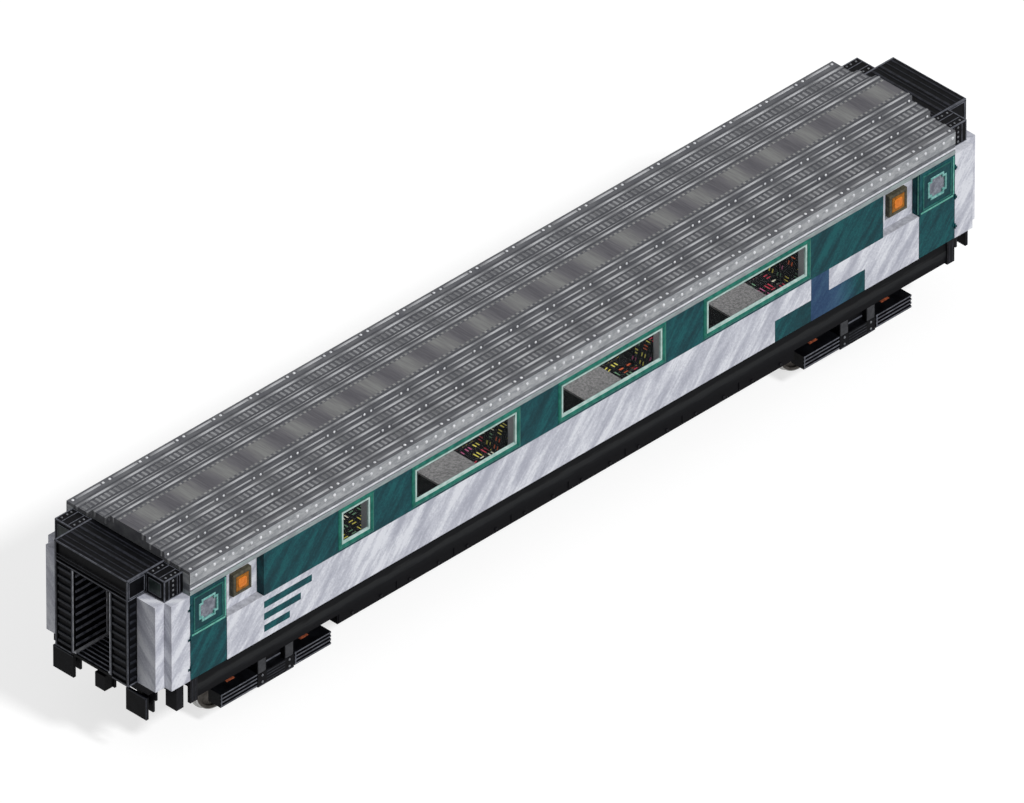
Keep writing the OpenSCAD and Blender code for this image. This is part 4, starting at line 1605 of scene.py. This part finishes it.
@dataclass
class Saloon:
    """Seats, tables, partitions and carpet."""

    plan: Plan
    palette: Palette
    seats: tuple = ((4, 1), (6, 1), (10, 1), (14, 1), (8, -1), (12, -1), (16, -1))
    inset: float = 0.04
    seat_length: float = 0.62
    back_depth: float = 0.13
    aisle: float = 0.465
    swell: float = 0.016
    voxel: float = 0.024

    def dress(self, frame: dict) -> None:
        """Builds the seats and dresses the inside.
        """
        p, c = self.plan, self.palette
        clothe(frame, c.carpet, "floor")
        clothe(frame, c.partition, "partitions")
        clothe(frame, c.doorway, "door_frames")
        clothe(frame, TableTop(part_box("tables")[1].z).build(), "tables")
        clothe(frame, c.moquette, "seat_bases", "seat_backs")
        self._pads("seat_cushions", "seat_bases", self.seat_length)
        self._pads("back_cushions", "seat_backs", self.back_depth)

    def _pad(self, length: float, width: float, height: float) -> Shape:
        """One pad, filled by simulation, then fitted to its size, with a corner at the origin."""
        size = np.array([length, width, height])
        slack = pillow(np.full(3, self.swell), size - self.swell, 17, 9.0)
        return inflated(slack, self.voxel, self.swell).fitted([0, 0, 0], size)

    def _pads(self, name: str, node: str, length: float) -> None:
        """Pads in the place of one node's blocks, two side by side in each block.

        Args:
            name: the new piece's name.
            node: the node that the pads stand for.
            length: a block's length along the coach.
        """
        p = self.plan
        low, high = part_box(node)
        middle = (self.aisle + high.y) / 2
        pad = self._pad(length, middle - 0.003 - self.aisle, high.z - low.z)
        shape = None
        for bay, way in self.seats:
            start = p.x(bay + 0.5) - way * (p.bay / 2 - self.inset)
            first = min(start, start + way * length)
            for y in (self.aisle, middle + 0.003):
                copy = pad.moved(first, y, low.z)
                shape = copy if shape is None else shape + copy
        piece = publish(name, shape.both(Axis.ACROSS), self.palette.moquette, smooth=True)
        merge_doubles(piece)
        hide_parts(node)


@dataclass
class Running:
    """Wheels and axles."""

    plan: Plan
    palette: Palette
    names: tuple = ("front_outer", "front_inner", "rear_inner", "rear_outer")

    def dress(self, frame: dict) -> None:
        """Dresses the wheels and axles, and adds a worn ring on each tread.
        """
        for name in self.names:
            low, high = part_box(name + "_wheels")
            x, tread = (low.x + high.x) / 2, (high.z - low.z) / 2 - FLANGE
            clothe(frame, WheelSteel(x, self.plan.axle, tread).build(), name + "_wheels")
            clothe(frame, self.palette.axle, name + "_axle")


@dataclass
class Studio:
    """Pale floor, soft light and the camera."""

    azimuth: float = -45.0
    elevation: float = math.degrees(math.atan(1 / math.sqrt(2)))
    view_width: float = 17.9
    lens: float = 1340.0
    sensor: float = 36.0
    aside: float = 0.035
    below: float = 0.018
    sun_power: float = 2.68
    sun_spread: float = 8.0
    toward_sun: tuple = (0.06, -0.72, 0.69)
    # The sky's strength as light, and as it is seen
    sky: tuple = (0.38, 1.0)
    floor_grey: float = 0.36
    floor_glow: float = 0.7
    lamp_power: float = 120.0

    def camera(self, target: Vector) -> None:
        """A long lens that looks at the target along a slanting line, almost without perspective.

        Args:
            target: the point at the picture's centre.
        """
        a, e = math.radians(self.azimuth), math.radians(self.elevation)
        back = Vector((math.sin(a) * math.cos(e), -math.cos(a) * math.cos(e), math.sin(e)))
        side = back.cross(Vector((0, 0, 1))).normalized()
        target = target + side * self.aside - Vector((0, 0, 1)) * self.below
        distance = self.view_width * self.lens / self.sensor
        data = bpy.data.cameras.new("camera")
        data.lens, data.sensor_width = self.lens, self.sensor
        data.clip_start, data.clip_end = distance / 10, distance * 2
        camera = bpy.data.objects.new("camera", data)
        bpy.context.scene.collection.objects.link(camera)
        camera.location = target + back * distance
        camera.rotation_mode = "QUATERNION"
        camera.rotation_quaternion = (-back).to_track_quat("-Z", "Y")
        bpy.context.scene.camera = camera

    def light(self) -> None:
        """One broad sun from the left side and above, and a white sky."""
        data = bpy.data.lights.new("key", "SUN")
        data.energy, data.angle = self.sun_power, math.radians(self.sun_spread)
        sun = bpy.data.objects.new("key", data)
        bpy.context.scene.collection.objects.link(sun)
        sun.rotation_mode = "QUATERNION"
        sun.rotation_quaternion = Vector(self.toward_sun).to_track_quat("Z", "Y")
        world = bpy.data.worlds.new("sky")
        bpy.context.scene.world = world
        world.use_nodes = True
        tree = world.node_tree
        tree.nodes.clear()
        out = tree.nodes.new("ShaderNodeOutputWorld")
        sky = tree.nodes.new("ShaderNodeBackground")
        tree.links.new(sky.outputs[0], out.inputs[0])
        path = tree.nodes.new("ShaderNodeLightPath")
        seen = self._seen(tree, path)
        strength = tree.nodes.new("ShaderNodeMapRange")
        tree.links.new(seen, strength.inputs[0])
        strength.inputs[3].default_value, strength.inputs[4].default_value = self.sky
        tree.links.new(strength.outputs[0], sky.inputs["Strength"])
        sky.inputs["Color"].default_value = (1, 1, 1, 1)

    def saloon_light(self, plan: Plan, low: Vector, high: Vector) -> None:
        """A long ceiling light in the saloon, between the partitions.

        Args:
            plan: the coach's plan.
            low, high: box of the partitions.
        """
        data = bpy.data.lights.new("saloon", "AREA")
        data.shape, data.size, data.size_y = "RECTANGLE", high.x - low.x - 0.4, 1.6
        data.energy = self.lamp_power
        lamp = bpy.data.objects.new("saloon", data)
        bpy.context.scene.collection.objects.link(lamp)
        lamp.location = (0, 0, plan.cornice_top - 0.03)

    @staticmethod
    def _seen(tree: bpy.types.NodeTree, path: bpy.types.Node) -> Socket:
        """1 for what a camera, a mirror or glass sees, else 0."""
        value = path.outputs["Is Camera Ray"]
        for name in ("Is Glossy Ray", "Is Transmission Ray"):
            node = tree.nodes.new("ShaderNodeMath")
            node.operation = "MAXIMUM"
            tree.links.new(value, node.inputs[0])
            tree.links.new(path.outputs[name], node.inputs[1])
            value = node.outputs[0]
        return value

    def floor(self, half: float = 60.0) -> None:
        """A pale floor under the wheels, as a flat sheet of quads.

        Args:
            half: half its width.
        """
        t = np.linspace(-half, half, 9)
        u, v = np.meshgrid(t, t, indexing="ij")
        sheet = grid_shape(np.stack([u, v, np.zeros_like(u)], -1), False, False)
        mesh = sheet.mesh("floor_sheet")
        material = bpy.data.materials.new("studio_floor")
        material.use_nodes = True
        tree = material.node_tree
        tree.nodes.clear()
        out = tree.nodes.new("ShaderNodeOutputMaterial")
        matt = tree.nodes.new("ShaderNodeBsdfDiffuse")
        matt.inputs["Color"].default_value = (*[self.floor_grey] * 3, 1)
        glow = tree.nodes.new("ShaderNodeEmission")
        seen = self._seen(tree, tree.nodes.new("ShaderNodeLightPath"))
        scale = tree.nodes.new("ShaderNodeMath")
        scale.operation = "MULTIPLY"
        tree.links.new(seen, scale.inputs[0])
        scale.inputs[1].default_value = self.floor_glow
        tree.links.new(scale.outputs[0], glow.inputs["Strength"])
        both = tree.nodes.new("ShaderNodeAddShader")
        tree.links.new(matt.outputs[0], both.inputs[0])
        tree.links.new(glow.outputs[0], both.inputs[1])
        tree.links.new(both.outputs[0], out.inputs[0])
        mesh.materials.append(material)
        sheet_object = bpy.data.objects.new("floor_sheet", mesh)
        bpy.context.scene.collection.objects.link(sheet_object)
        sheet_object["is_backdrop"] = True


def main() -> None:
    """Loads the frame, dresses the coach one sub-assembly at a time, and sets up the studio."""
    logging.basicConfig(level=logging.INFO, format="%(name)s: %(message)s")
    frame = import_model()
    low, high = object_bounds()
    studio = Studio()
    studio.camera((low + high) / 2)
    studio.light()
    studio.floor()
    bpy.context.scene.view_settings.view_transform = "Standard"
    plan = Plan.from_frame()
    log.info("plan: %s", plan)
    studio.saloon_light(plan, *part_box("partitions"))
    palette = Palette(plan)
    clothe(frame, palette.livery, "left_side_wall", "right_side_wall")
    clothe(frame, palette.white, "end_walls")
    Roof(plan, palette).dress(frame)
    Windows(plan, palette).dress(frame)
    Doors(plan, palette).dress(frame)
    SideLamps(plan, palette).dress(frame)
    Gangways(plan, palette).dress(frame)
    Underside(plan, palette).dress(frame)
    for end in ("front", "rear"):
        Bogie(plan, palette, end).dress(frame)
    Running(plan, palette).dress(frame)
    Saloon(plan, palette).dress(frame)


if __name__ == "__main__":
    main()
